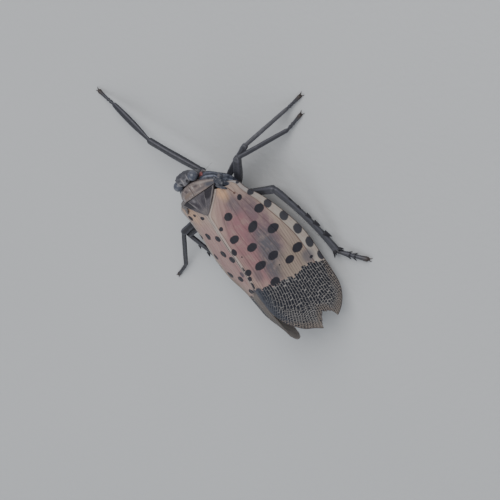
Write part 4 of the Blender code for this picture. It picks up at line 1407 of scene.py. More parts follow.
@dataclass(frozen=True)
class Shield:
    """The scutellum: the plate between the wing bases, pointed behind, with three keels."""

    front_y: float = 2.08
    front_bow: float = 0.12
    skew: float = 0.07
    tip_y: float = 4.86
    half_width: float = 2.72
    tip_half_width: float = 0.12
    top: float = 7.42
    rise: float = 0.1
    drop: float = 0.49
    thickness: float = 0.5
    keel: float = 0.1

    def front(self, x: np.ndarray) -> np.ndarray:
        """The front edge at x, bowed forward in the middle and turned a little with the head."""
        return self.front_y + self.front_bow * (x / self.half_width) ** 2 + self.skew * x

    def width_at(self, share: np.ndarray) -> np.ndarray:
        """Half the width at a share of the way from the front corners to the tip."""
        return np.maximum(self.half_width * (1 - np.clip(share, 0, 1) ** 1.1), self.tip_half_width)

    def half_width_at(self, y: np.ndarray) -> np.ndarray:
        """Half the width at y, measured from the front corners."""
        corner = self.front_y + self.front_bow
        return self.width_at((y - corner) / (self.tip_y - corner))

    def shell(self) -> Shell:
        """The plate's surface, with its keels and the hollows beside them."""
        columns = np.linspace(-1, 1, 97)
        share = np.linspace(0, 1, 70)[:, None]
        x = self.width_at(share) * columns
        front = self.front(self.half_width * columns)
        y = front + (self.tip_y - front) * share
        z = self.top - self.rise * (1 - share) - self.drop * (x / self.half_width) ** 2
        z = z - 0.1 * np.clip(np.abs(columns) - 0.9, 0, 1) / 0.1
        fade = 1 - 0.6 * share
        for place, height, wide in ((0.0, self.keel, 0.035), (-0.5, 0.07, 0.04), (0.5, 0.07, 0.04)):
            z = z + height * fade * np.exp(-(((columns - place) / wide) ** 2))
        z = z - 0.05 * fade * (np.exp(-(((np.abs(columns) - 0.25) / 0.12) ** 2)))
        return plate(np.stack([x, y, z], axis=-1), columns, share, self.thickness)

    def build(self, bench: Workbench) -> None:
        """Make the piece."""
        bench.piece("scutellum_plate", self.shell().roughened(0.25, 0.02, 5), SHIELD_SKIN, ["scutellum"])


def plate(top: np.ndarray, columns: np.ndarray, share: np.ndarray, thickness: float) -> Shell:
    """A closed plate below an upper surface.

    Args:
        top: The upper surface, by row and column.
        columns: The place of each column across the plate.
        share: The place of each row along the plate.
        thickness: How far the lower surface lies below.

    Returns:
        The plate, which carries its own places for the finish.
    """
    under = top[:, ::-1] - np.array([0.0, 0.0, thickness])
    rows = np.concatenate([top, under], axis=1)
    across = np.concatenate([columns, columns[::-1]])
    along = np.broadcast_to(share, (len(top), len(across)))
    facts = {"plate_place": np.stack([np.broadcast_to(across, along.shape), along, np.zeros(along.shape)], -1)}
    return Shell.woven(rows, True, True, facts)


@dataclass(frozen=True)
class Drape:
    """A swollen plate between an upper and a lower rail on the right side of the body, with x turned about."""

    top: tuple[Place, ...]
    bottom: tuple[Place, ...]
    bulge: float
    rib: float
    ribs: float
    depth: float = 0.4

    def shell(self, side: Side, seed: int) -> Shell:
        """The plate's surface.

        Args:
            side: The side of the body.
            seed: Sets its small swellings.

        Returns:
            The plate, which carries its own places for the finish.
        """
        t = np.linspace(0, 1, 110)
        upper, lower = (
            np.stack(
                [through([(at, row[k]) for at, row in zip(np.linspace(0, 1, len(rail)), rail)], t) for k in range(3)],
                axis=-1,
            )
            for rail in (self.top, self.bottom)
        )
        down = np.linspace(0, 1, 44)
        face = upper[:, None] * (1 - down[None, :, None]) + lower[:, None] * down[None, :, None]
        arch = np.sin(math.pi * down)
        ribs = self.rib * np.cos(2 * math.pi * (self.ribs * t[:, None] + 0.5 * down))
        face[..., 0] += self.bulge * arch + ribs * arch**0.5
        inner = face - np.array([self.depth, 0.0, 0.0])
        place = np.stack(np.broadcast_arrays(t[:, None], down, 0.0), axis=-1)
        facts = {"plate_place": np.concatenate([place, place[:, ::-1]], axis=1)}
        shell = Shell.woven(np.concatenate([face, inner[:, ::-1]], axis=1), facts=facts).roughened(0.16, 0.06, seed)
        return shell if side is Side.LEFT else shell.mirrored()


@dataclass(frozen=True)
class Collar:
    """The pronotum: a saddle behind the head, whose dark side lobes hang in front of the wing bases."""

    front_y: float = 0.44
    front_bow: float = 1.3
    skew: float = 0.1
    half_width: float = 2.74
    top: float = 7.36
    rise: float = 0.12
    drop: float = 1.2
    thickness: float = 0.4
    lobe: Drape = Drape(
        top=(
            (1.4, 0.75, 6.9), (1.75, 0.92, 6.78), (2.1, 1.14, 6.6), (2.45, 1.38, 6.38), (2.74, 1.6, 6.15),
            (2.95, 2.05, 6.05),
        ),
        bottom=(
            (1.7, 0.5, 6.2), (1.95, 0.3, 6.0), (2.2, 0.3, 5.75), (2.45, 0.6, 5.35), (2.72, 1.1, 4.9),
            (2.85, 1.5, 4.6),
        ),
        bulge=0.16,
        rib=0.03,
        ribs=2.5,
    )

    def shell(self, shield: Shield) -> Shell:
        """The plate's surface.

        Args:
            shield: The plate behind it, whose front edge it follows.

        Returns:
            The plate.
        """
        columns = np.linspace(-1, 1, 151)
        share = np.linspace(0, 1, 60)[:, None]
        x = self.half_width * columns
        front = self.front_y + self.front_bow * np.abs(columns) ** 2.2 + self.skew * x
        rear = np.maximum(shield.front(x) - 0.06, front + 0.25)
        y = front + (rear - front) * share
        z = self.top - self.rise * (1 - share) - self.drop * np.abs(columns) ** 2.4
        z = z + 0.08 * np.exp(-((columns / 0.03) ** 2)) + 0.04 * np.exp(-(((share - 0.04) / 0.05) ** 2))
        for place in (-0.3, 0.3):
            hollow = ((columns - place) / 0.13) ** 2 + ((share - 0.4) / 0.2) ** 2
            z = z - 0.07 * np.exp(-hollow)
        rows = np.stack([np.broadcast_to(x, y.shape), y, z], axis=-1)
        return plate(rows, columns, share, self.thickness)

    def build(self, bench: Workbench, shield: Shield) -> None:
        """Make the saddle and its lobes."""
        bench.piece("collar_plate", self.shell(shield).roughened(0.3, 0.03, 7), COLLAR_SKIN, ["pronotum"])
        lobes = Shell.joined(self.lobe.shell(side, 12) for side in Side)
        bench.piece("collar_lobes", lobes, LOBE_SKIN)


@dataclass(frozen=True)
class Fold:
    """How a wing lies: its slope along the body, the ridge that it hangs from, and the seam."""

    side: Side
    slope: Stations
    ridge: Stations = (
        (2.4, 7.1), (4.8, 7.44), (8.5, 7.83), (12, 7.92), (18, 7.9), (21, 7.75), (25, 7.4),
    )
    seam: Stations = ((2.4, 0), (12, 0), (16, 0.35), (19, 0.35), (22, 0.1), (25, 0))
    curl: float = math.radians(2.2)
    width: float = 8.95
    off_seam: float = 0.15

    def place(self, y: np.ndarray, s: np.ndarray, depth: np.ndarray) -> np.ndarray:
        """Points of the wing.

        Args:
            y: Places along the body.
            s: Places down the slope from the ridge; below zero they lie flat across it.
            depth: How far below the upper face.

        Returns:
            The points, in the insect's millimetres.
        """
        side = self.side.value
        down = np.clip(s, 0, None)
        start = np.radians(through(self.slope, y)) - self.curl * self.width / 2
        here = start + self.curl * down
        x = self.off_seam + (np.sin(here) - np.sin(start)) / self.curl
        z = through(self.ridge, y) - (np.cos(start) - np.cos(here)) / self.curl
        over = np.clip(s, None, 0)
        x = x + over * np.cos(start * 0.4)
        z = z - over * np.sin(start) * 0.25 - 0.4 * over**2
        lean = np.sin(here) * np.clip(down, 0, 1)
        upright = lean * np.sin(here) + np.cos(here) ** 2
        x = side * x + through(self.seam, y) - side * depth * lean / upright
        z = z - depth * np.cos(here) / upright
        return np.stack([x, y, z], axis=-1)


RIGHT_FOLD = Fold(Side.RIGHT, ((2.4, 22), (4.5, 33), (7, 40.5), (12, 43), (18, 45), (25, 50)))
LEFT_FOLD = Fold(
    Side.LEFT,
    ((2.4, 26.5), (4.5, 33), (7, 37.5), (12, 38.7), (14, 41), (16, 45.5), (18, 47.3), (20, 48.5), (22, 56.5), (24, 66)),
)


@dataclass(frozen=True)
class Forewing:
    """A forewing, from its narrow root to its rounded end, torn on the right."""

    fold: Fold
    skin: WingSkin
    shield: Shield
    root: Stations = ((0, 2.55), (0.45, 2.85), (0.7, 3.05), (0.85, 2.75), (1, 2.45))
    shoulder_y: float = 2.4
    shoulder_width: float = 2.6
    widest_y: float = 16.0
    width: float = 8.95
    overlap: float = 0.15
    # How far the inner margin has drawn back from the seam along the rear of the wing
    drawn_back: Stations = ((16.5, 0), (18.4, 0), (20.1, 0), (21.4, 0))
    thickness: float = 0.13
    columns: int = 150
    rows: int = 230
    root_bulge: float = 0.95
    root_bulge_y: float = 2.9
    root_bulge_run: float = 1.1
    fan_root: float = 1.7
    fan_end_y: float = 8.5
    # The net's rows lie this far apart, turn towards the seam behind, and hold cells that shorten backward
    row_pitch: float = 0.295
    row_turn: float = 0.3
    row_turn_width: float = 1.85
    row_turn_y: float = 16.3
    cell_length: float = 0.74
    cell_shrink: float = 0.08
    end: Stations = (
        (0, 20.6), (0.05, 21.55), (0.13, 22.5), (0.25, 23.2), (0.35, 23.85), (0.5, 24.0), (0.63, 23.65),
        (0.72, 23.25), (0.79, 22.75), (0.87, 22.0), (0.94, 20.95), (0.985, 19.6), (1, 18.0),
    )
    torn: Stations = (
        (0.345, 23.85), (0.36, 23.6), (0.385, 23.15), (0.42, 22.88), (0.435, 22.5), (0.455, 22.42), (0.487, 22.08),
        (0.52, 22.3), (0.55, 22.42), (0.575, 22.6), (0.6, 22.7), (0.615, 23.2), (0.626, 23.62),
    )
    net_front: Stations = (
        (-0.4, 15.3), (0.7, 15.65), (1.0, 15.45), (1.5, 15.7), (2.0, 16.1), (2.9, 16.05), (3.6, 16.1), (4.0, 16.3),
        (4.4, 16.65), (5.0, 16.55), (5.5, 16.4), (6.0, 16.3), (6.6, 16.4), (7.4, 16.45), (7.8, 16.8), (8.3, 17.0),
        (8.8, 17.3),
    )

    def inner(self, y: np.ndarray) -> np.ndarray:
        """The margin beside the scutellum, and along the seam behind it."""
        beside = self.shield.half_width_at(y) - self.fold.off_seam - 0.05
        behind = np.clip((y - self.shield.tip_y + 0.25) / 0.5, 0, 1)
        return beside * (1 - behind) - self.overlap * behind + through(self.drawn_back, y)

    def outer(self, y: np.ndarray) -> np.ndarray:
        """The outer margin, before the rounded end."""
        t = np.clip(self.widest_y - y, 0, None) / (self.widest_y - self.shoulder_y)
        wide = self.shoulder_width + (self.width - self.shoulder_width) * np.clip(1 - t**1.7, 0, 1) ** (1 / 1.7)
        return wide + self.root_bulge * np.exp(-(((y - self.root_bulge_y) / self.root_bulge_run) ** 2))

    def fan(self, y: np.ndarray, s: np.ndarray) -> np.ndarray:
        """The share of the width that the veins follow, whose inner side runs smoothly past the scutellum."""
        share = np.clip((y - self.shoulder_y) / (self.fan_end_y - self.shoulder_y), 0, 1)
        smooth = share * share * (3 - 2 * share)
        inner = self.fan_root * (1 - smooth) - self.overlap * smooth
        return (s - inner) / (self.outer(y) - inner)

    def ends(self, fractions: np.ndarray) -> np.ndarray:
        """Where each line of the wing ends.

        Args:
            fractions: The lines, as shares of the wing's width.

        Returns:
            The place along the body.
        """
        ends = through(self.end, fractions)
        if self.fold.side is Side.LEFT:
            return ends
        shares, places = np.array(self.torn).T
        ragged = np.interp(fractions, shares, places)
        draw = np.random.default_rng(11)
        ragged = ragged + draw.uniform(-0.1, 0.1, len(fractions))
        return np.where((fractions >= shares[0]) & (fractions <= shares[-1]), ragged, ends)

    def grid(self) -> tuple[np.ndarray, np.ndarray, np.ndarray]:
        """The wing's own places.

        Returns:
            Fraction of the width, place along the body and place down the slope, by row and column.
        """
        across = np.linspace(0, 1, self.columns)
        fraction = np.sort(np.clip(across + 0.35 * np.sin(2 * math.pi * across) / (2 * math.pi), 0, 1))
        share = np.linspace(0, 1, self.rows)[:, None]
        root = through(self.root, fraction)
        y = root + (self.ends(fraction) - root) * share
        inner, outer = self.inner(y), self.outer(y)
        return np.broadcast_to(fraction, y.shape), y, inner + (outer - inner) * fraction

    def crest(self, y: np.ndarray, s: np.ndarray) -> np.ndarray:
        """How far the veins stand out of the wing."""
        grown = np.clip((self.outer(y) - self.inner(y)) / 6.0, 0, 1)
        fraction = self.fan(y, s)
        veins = sum(np.exp(-(((fraction - vein) / 0.007) ** 2)) for vein in self.skin.veins)
        fading = 1 - 0.6 * np.clip((y - 14) / 3, 0, 1)
        between = 0.02 * np.cos(fraction * 2 * math.pi * 7.4)
        return (0.03 * veins * fading + between) * grown

    def net_rows(self, y: np.ndarray, s: np.ndarray) -> tuple[np.ndarray, np.ndarray]:
        """The net's rows, which run level in front and turn towards the seam behind.

        Args:
            y: The place along the body.
            s: The place down the slope.

        Returns:
            The row's place down the slope before it turns, and how far apart two rows stand.
        """
        turn = self.row_turn * np.clip(y - self.row_turn_y, 0, None) ** 2
        level = s
        for _ in range(12):
            bend = turn * np.exp(-level / self.row_turn_width)
            level = level - (level - bend - s) / (1 + bend / self.row_turn_width)
        bend = np.exp(-level / self.row_turn_width)
        steep = 2 * self.row_turn * np.clip(y - self.row_turn_y, 0, None) * bend
        apart = self.row_pitch * (1 + turn * bend / self.row_turn_width) / np.sqrt(1 + steep**2)
        return level, apart

    def facts(self, y: np.ndarray, s: np.ndarray) -> dict[str, np.ndarray]:
        """What the wing's finish reads at each point.

        Args:
            y: The place along the body.
            s: The place down the slope.

        Returns:
            The facts by name.
        """
        from_end = np.broadcast_to(y[-1], y.shape) - y
        outer = np.minimum(self.outer(y) - s, from_end)
        front_s, front_y = np.array(self.net_front).T
        depth = y - np.interp(s, front_s, front_y)
        behind = np.clip(depth, -2, 8)
        along = -np.log(1 - self.cell_shrink * behind / self.cell_length) / self.cell_shrink
        level, apart = self.net_rows(y, s)
        fringe = 0.6 + 0.8 * np.clip((y - 17.8) / 2.5, 0, 1)
        fineness = np.maximum((apart / self.row_pitch - 1.3) / 0.2, (fringe - outer) / 0.25)
        fineness = np.maximum(fineness, np.where(y > 17, (0.9 - s) / 0.3, -3))
        blank = np.zeros(y.shape)
        return {
            "wing_place": np.stack([y, s, blank], axis=-1),
            "wing_fan": np.stack([self.fan(y, s), y, blank], axis=-1),
            "wing_edge": np.stack([s - self.inner(y), outer, blank], axis=-1),
            "net_cells": np.stack([along, level / self.row_pitch, depth], axis=-1),
            "net_pitch": np.stack([self.cell_length - self.cell_shrink * behind, apart, fineness], axis=-1),
        }

    def shell(self) -> Shell:
        """The wing's upper and lower face with the rim between them."""
        _, y, s = self.grid()
        crest = self.crest(y, s)
        edge = np.minimum(s - self.inner(y), self.outer(y) - s)
        thin = self.thickness * (0.6 + 0.4 * np.clip(edge / 0.4, 0, 1))
        top = self.fold.place(y, s, -crest)
        under = self.fold.place(y, s, thin - crest)
        facts = self.facts(y, s)
        rows = np.concatenate([top, under[:, ::-1]], axis=1)
        facts = {name: np.concatenate([v, v[:, ::-1]], axis=1) for name, v in facts.items()}
        # The lower face is marked here so that its finish paints it a lighter flat brown, as painted light
        facts["wing_edge"][:, self.columns :, 2] = 1
        shell = sealed(rows, facts)
        return shell if self.fold.side is Side.LEFT else shell.flipped()

    def build(self, bench: Workbench) -> None:
        """Make the piece."""
        word = self.fold.side.word
        bench.piece(f"forewing_membrane_{word}", self.shell(), self.skin, [f"forewing_{word}"])


def sealed(rows: np.ndarray, facts: dict[str, np.ndarray]) -> Shell:
    """A flat closed shell whose rows run out along one face and back along the other.

    Args:
        rows: The points by row and column.
        facts: What the finish reads, by row and column.

    Returns:
        The shell, with strips over its two ends.
    """
    shell = Shell.woven(rows, True, False, facts)
    count, wide = rows.shape[:2]
    strips = []
    for start, turn in ((0, 1), ((count - 1) * wide, -1)):
        over = start + np.arange(wide // 2)
        back = start + wide - 1 - np.arange(wide // 2)
        strip = np.stack([over[:-1], back[:-1], back[1:], over[1:]], axis=-1)
        strips.append(strip[:, ::turn])
    shell.quads = np.vstack([shell.quads, *strips])
    return shell


@dataclass(frozen=True)
class Hindwing:
    """A hind wing, folded flat below the forewing."""

    fold: Fold
    drop: float = 0.8
    root_y: float = 5.4
    rounding_y: float = 13.0
    apex_y: float = 19.5
    inner: float = 0.7
    width: float = 6.6
    shoulder: float = 0.45
    spread: float = 9.0
    roundness: float = 2.3
    thickness: float = 0.12
    veins: tuple[float, ...] = (0.17, 0.38, 0.62, 0.83)

    def shell(self) -> Shell:
        """The wing's surface, fluted between its veins."""
        fraction = np.linspace(0, 1, 90)
        share = np.linspace(0, 1, 110)[:, None]
        off_centre = np.clip(np.abs(2 * fraction - 1), 0, 1)
        round_end = (1 - off_centre**self.roundness) ** (1 / self.roundness)
        end = self.rounding_y + (self.apex_y - self.rounding_y) * round_end
        y = self.root_y + (end - self.root_y) * share
        wide = np.clip(self.shoulder + (y - self.root_y) / self.spread, None, 1)
        s = self.inner + (self.width - self.inner) * wide * fraction
        flutes = 0.05 * np.cos(fraction * 2 * math.pi * 6)
        ribs = sum(np.exp(-(((fraction - vein) / 0.012) ** 2)) for vein in self.veins) * 0.06
        crest = np.broadcast_to(flutes, y.shape)
        top = self.fold.place(y, s, self.drop - crest)
        under = self.fold.place(y, s, self.drop + self.thickness - crest + ribs)
        facts = {
            "wing_place": np.stack([y, s, np.zeros(y.shape)], axis=-1),
            "wing_fan": np.stack([np.broadcast_to(fraction, y.shape), y, np.zeros(y.shape)], axis=-1),
        }
        rows = np.concatenate([top, under[:, ::-1]], axis=1)
        shell = sealed(rows, {n: np.concatenate([v, v[:, ::-1]], axis=1) for n, v in facts.items()})
        return shell if self.fold.side is Side.LEFT else shell.flipped()

    def build(self, bench: Workbench) -> None:
        """Make the piece."""
        word = self.fold.side.word
        bench.piece(f"hindwing_membrane_{word}", self.shell(), HINDWING_SKIN, [f"hindwing_{word}"])


def ring(count: int, exponent: float = 2.0, below: float | None = None) -> np.ndarray:
    """Points round a superellipse with half-axes of one.

    Args:
        count: How many points.
        exponent: Two gives an ellipse, more gives squarer shoulders.
        below: The exponent of the lower half, if it differs.

    Returns:
        Across and up for each point.
    """
    angle = 2 * math.pi * np.arange(count) / count
    c, s = np.cos(angle), np.sin(angle)
    power = 2 / np.where(s < 0, below or exponent, exponent)
    return np.stack([np.sign(c) * np.abs(c) ** power, np.sign(s) * np.abs(s) ** power], axis=-1)


@dataclass(frozen=True)
class Trunk:
    """Neck, thorax and abdomen in one skin: y, half width, half height and height of the axis."""

    sections: tuple[tuple[float, float, float, float], ...] = (
        (0.2, 0.35, 0.35, 5.3),
        (0.6, 0.85, 0.9, 5.3),
        (1.0, 1.45, 1.1, 5.2),
        (1.8, 2.0, 1.2, 5.25),
        (2.8, 2.25, 1.25, 5.3),
        (4.2, 2.2, 1.2, 5.1),
        (5.2, 1.85, 1.05, 4.75),
        (5.9, 1.65, 1.0, 4.35),
        (6.6, 1.9, 1.2, 3.95),
        (7.8, 2.2, 1.46, 3.58),
        (9.6, 2.4, 1.65, 3.3),
        (11.6, 2.3, 1.6, 3.2),
        (13.4, 2.0, 1.4, 3.15),
        (15.0, 1.55, 1.1, 3.15),
        (16.4, 0.95, 0.75, 3.2),
        (17.1, 0.5, 0.45, 3.23),
        (17.3, 0.2, 0.18, 3.25),
    )
    joints: tuple[float, ...] = (5.6, 7.0, 8.6, 10.2, 11.8, 13.3, 14.7, 16.0, 17.6)
    step: float = 0.07
    sides: int = 96
    rings: int = 260

    def shell(self) -> Shell:
        """The surface, whose abdominal rings overlap like tiles."""
        y = np.linspace(self.sections[0][0], self.sections[-1][0], self.rings)
        wide, high, axis = (through([(row[0], row[k]) for row in self.sections], y) for k in (1, 2, 3))
        number = np.interp(y, self.joints, np.arange(len(self.joints)))
        within = number - np.floor(number)
        # Each ring swells towards its rear edge, and the next starts narrower below it
        swell = np.where((y > self.joints[0]) & (y < 17.0), self.step * (within**1.5 - 0.6), 0.0)
        round_body = ring(self.sides, 2.15, 2.5)
        x = np.outer(wide + swell, round_body[:, 0])
        z = axis[:, None] + np.outer(high + swell, round_body[:, 1])
        rows = np.stack([x, np.broadcast_to(y[:, None], x.shape), z], axis=-1)
        facts = np.stack(
            [
                np.broadcast_to(number[:, None], x.shape),
                np.broadcast_to(np.abs(round_body[:, 0]) ** 3, x.shape),
                np.broadcast_to(y[:, None], x.shape),
            ],
            axis=-1,
        )
        return Shell.woven(rows, True, True, {"trunk_place": facts}).flipped()

    def reliefs(self) -> list[Relief]:
        """The plates and furrows of the thorax's sides, and the fold along the abdomen's flanks."""
        found = []
        for side in (-1, 1):
            for y, reach in ((1.9, 0.16), (3.1, 0.14), (4.5, 0.1)):
                found.append(Relief((side * 2.1, y, 5.7), (side * 1.9, y + 0.3, 4.3), 0.35, reach))
            for y in (1.35, 2.5, 3.8):
                found.append(Relief((side * 2.2, y, 6.2), (side * 1.8, y + 0.3, 4.2), 0.07, -0.12))
            found.append(Relief((side * 1.9, 6.5, 3.6), (side * 2.2, 10, 2.9), 0.12, -0.08))
            found.append(Relief((side * 2.2, 10, 2.9), (side * 1.4, 15, 2.9), 0.12, -0.08))
        return found

    def build(self, bench: Workbench) -> None:
        """Make the piece."""
        shell = self.shell().carved(self.reliefs()).roughened(0.3, 0.02, 3)
        bench.piece("trunk_skin", shell, TRUNK_SKIN, ["thorax", "abdomen"])


def swept(path: np.ndarray, radii: np.ndarray, section: np.ndarray) -> tuple[np.ndarray, np.ndarray]:
    """Rows of points swept along a path without twisting.

    Args:
        path: The path's points.
        radii: Half width and half height at each of them.
        section: The section's points, across and up, with half-axes of about one.

    Returns:
        The points by row and column, and the path's length up to each row.
    """
    along = unit(np.gradient(path, axis=0))
    up = np.array([0.0, 0.0, 1.0])
    if abs(along[0] @ up) > 0.95:
        up = np.array([0.0, 1.0, 0.0])
    rows = []
    for point, forward, (wide, high) in zip(path, along, radii):
        across = unit(np.cross(forward, up))
        up = np.cross(across, forward)
        rows.append(point + section[:, :1] * wide * across + section[:, 1:] * high * up)
    lengths = np.concatenate([[0], np.cumsum(np.linalg.norm(np.diff(path, axis=0), axis=1))])
    return np.array(rows), lengths


def limb(
    start: np.ndarray,
    end: np.ndarray,
    shape: Stations,
    radii: tuple[float, float],
    section: np.ndarray,
    bend: Sequence[float] = (0.0, 0.0, 0.0),
    rows: int = 48,
) -> np.ndarray:
    """A limb with rounded ends.

    Args:
        start: The first point of its axis.
        end: The last point of its axis.
        shape: Share of the radii at shares of its length.
        radii: Half width and half height.
        section: The section's points.
        bend: How far its middle stands off the straight line.
        rows: How many rings.

    Returns:
        The points by row and column.
    """
    length = np.linalg.norm(end - start)
    share = 0.5 - 0.5 * np.cos(np.linspace(0, math.pi, rows))
    share = 0.5 * share + 0.5 * np.linspace(0, 1, rows)
    thick = through(shape, share)
    cap = max(radii) / length
    near_end = np.clip(np.minimum(share, 1 - share) / cap, 0, 1)
    rounded = np.sqrt(np.clip(1 - (1 - near_end) ** 2, 0.0004, 1))
    path = start + np.outer(share, end - start) + np.outer(4 * share * (1 - share), bend)
    sizes = np.outer(thick * rounded, radii)
    return swept(path, sizes, section)[0]


def cone(
    start: np.ndarray, direction: np.ndarray, length: float, radius: float, droop: float = 0.0, sides: int = 8
) -> Shell:
    """A curved spine with a flared foot and a sharp tip.

    Args:
        start: Where its axis starts.
        direction: Where it points.
        length: Its length.
        radius: Its radius at the foot.
        droop: How far its tip bends down.
        sides: How many sides it has.

    Returns:
        The spine.
    """
    t = np.linspace(0, 1, 9)
    path = start + np.outer(t * length, unit(direction)) - np.outer(droop * t * t, [0, 0, 1])
    thick = radius * (1.15 * (1 - t) ** 0.8 + 0.02)
    rows, _ = swept(path, np.stack([thick, thick], axis=-1), ring(sides))
    return Shell.woven(rows).flipped()


@dataclass(frozen=True)
class LegBuild:
    """How thick a leg is, where its joints sit, and how its femur bows up and its tibia bows out and up."""

    coxa: float
    femur: float
    tibia: tuple[float, float]
    tibia_shape: Stations
    tarsus_joints: tuple[float, float]
    coxa_top: tuple[float, float]
    tarsus: float = 0.235
    femur_bow: float = 0.0
    tibia_bow: tuple[float, float] = (0.0, 0.0)
    femur_shape: Stations = ((0, 0.7), (0.12, 0.92), (0.4, 1.04), (0.75, 0.95), (0.92, 0.98), (1, 0.9))
    spiny: bool = False
    skin: LegCuticle = LEG_SKIN


FORELEG = LegBuild(
    coxa=0.34,
    femur=0.41,
    tibia=(0.42, 0.27),
    tibia_shape=((0, 0.6), (0.1, 0.66), (0.35, 0.98), (0.6, 1.06), (0.85, 0.92), (1, 0.75)),
    tarsus_joints=(0.24, 0.42),
    coxa_top=(1.6, 1.3),
    femur_bow=0.12,
)
MIDLEG = LegBuild(
    coxa=0.48,
    femur=0.5,
    tibia=(0.28, 0.27),
    tibia_shape=((0, 0.85), (0.2, 1.0), (0.6, 1.0), (0.85, 0.96), (1, 0.95)),
    tarsus_joints=(0.3, 0.48),
    coxa_top=(1.95, 3.1),
)
HINDLEG = LegBuild(
    coxa=0.48,
    femur=0.42,
    femur_shape=((0, 0.7), (0.12, 0.92), (0.4, 1.0), (0.7, 1.1), (0.92, 1.22), (1, 1.05)),
    tibia=(0.38, 0.33),
    tibia_bow=(0.28, -0.12),
    tibia_shape=((0, 1.05), (0.08, 1.12), (0.3, 1.0), (0.55, 0.95), (0.8, 1.02), (0.95, 1.15), (1, 1.12)),
    tarsus_joints=(0.44, 0.62),
    coxa_top=(1.45, 4.75),
    tarsus=0.32,
    spiny=True,
)
LEG_BUILDS = {
    "foreleg_left": FORELEG,
    # The right fore tibia stands edge on to the eye
    "foreleg_right": replace(
        FORELEG,
        tibia=(0.26, 0.28),
        tibia_shape=((0, 0.95), (0.2, 1.05), (0.6, 1.0), (0.9, 0.95), (1, 0.9)),
        skin=RIGHT_LEG_PAINTED_LIGHT_SKIN,
    ),
    "midleg_left": replace(MIDLEG, skin=LEFT_MIDLEG_PAINTED_SHADE_SKIN),
    "midleg_right": replace(MIDLEG, skin=RIGHT_LEG_PAINTED_LIGHT_SKIN),
    "hindleg_right": replace(HINDLEG, skin=RIGHT_LEG_PAINTED_LIGHT_SKIN),
    # The left hind tibia shows its narrow side
    "hindleg_left": replace(HINDLEG, tibia=(0.24, 0.24), tibia_bow=(0.0, 0.0)),
}


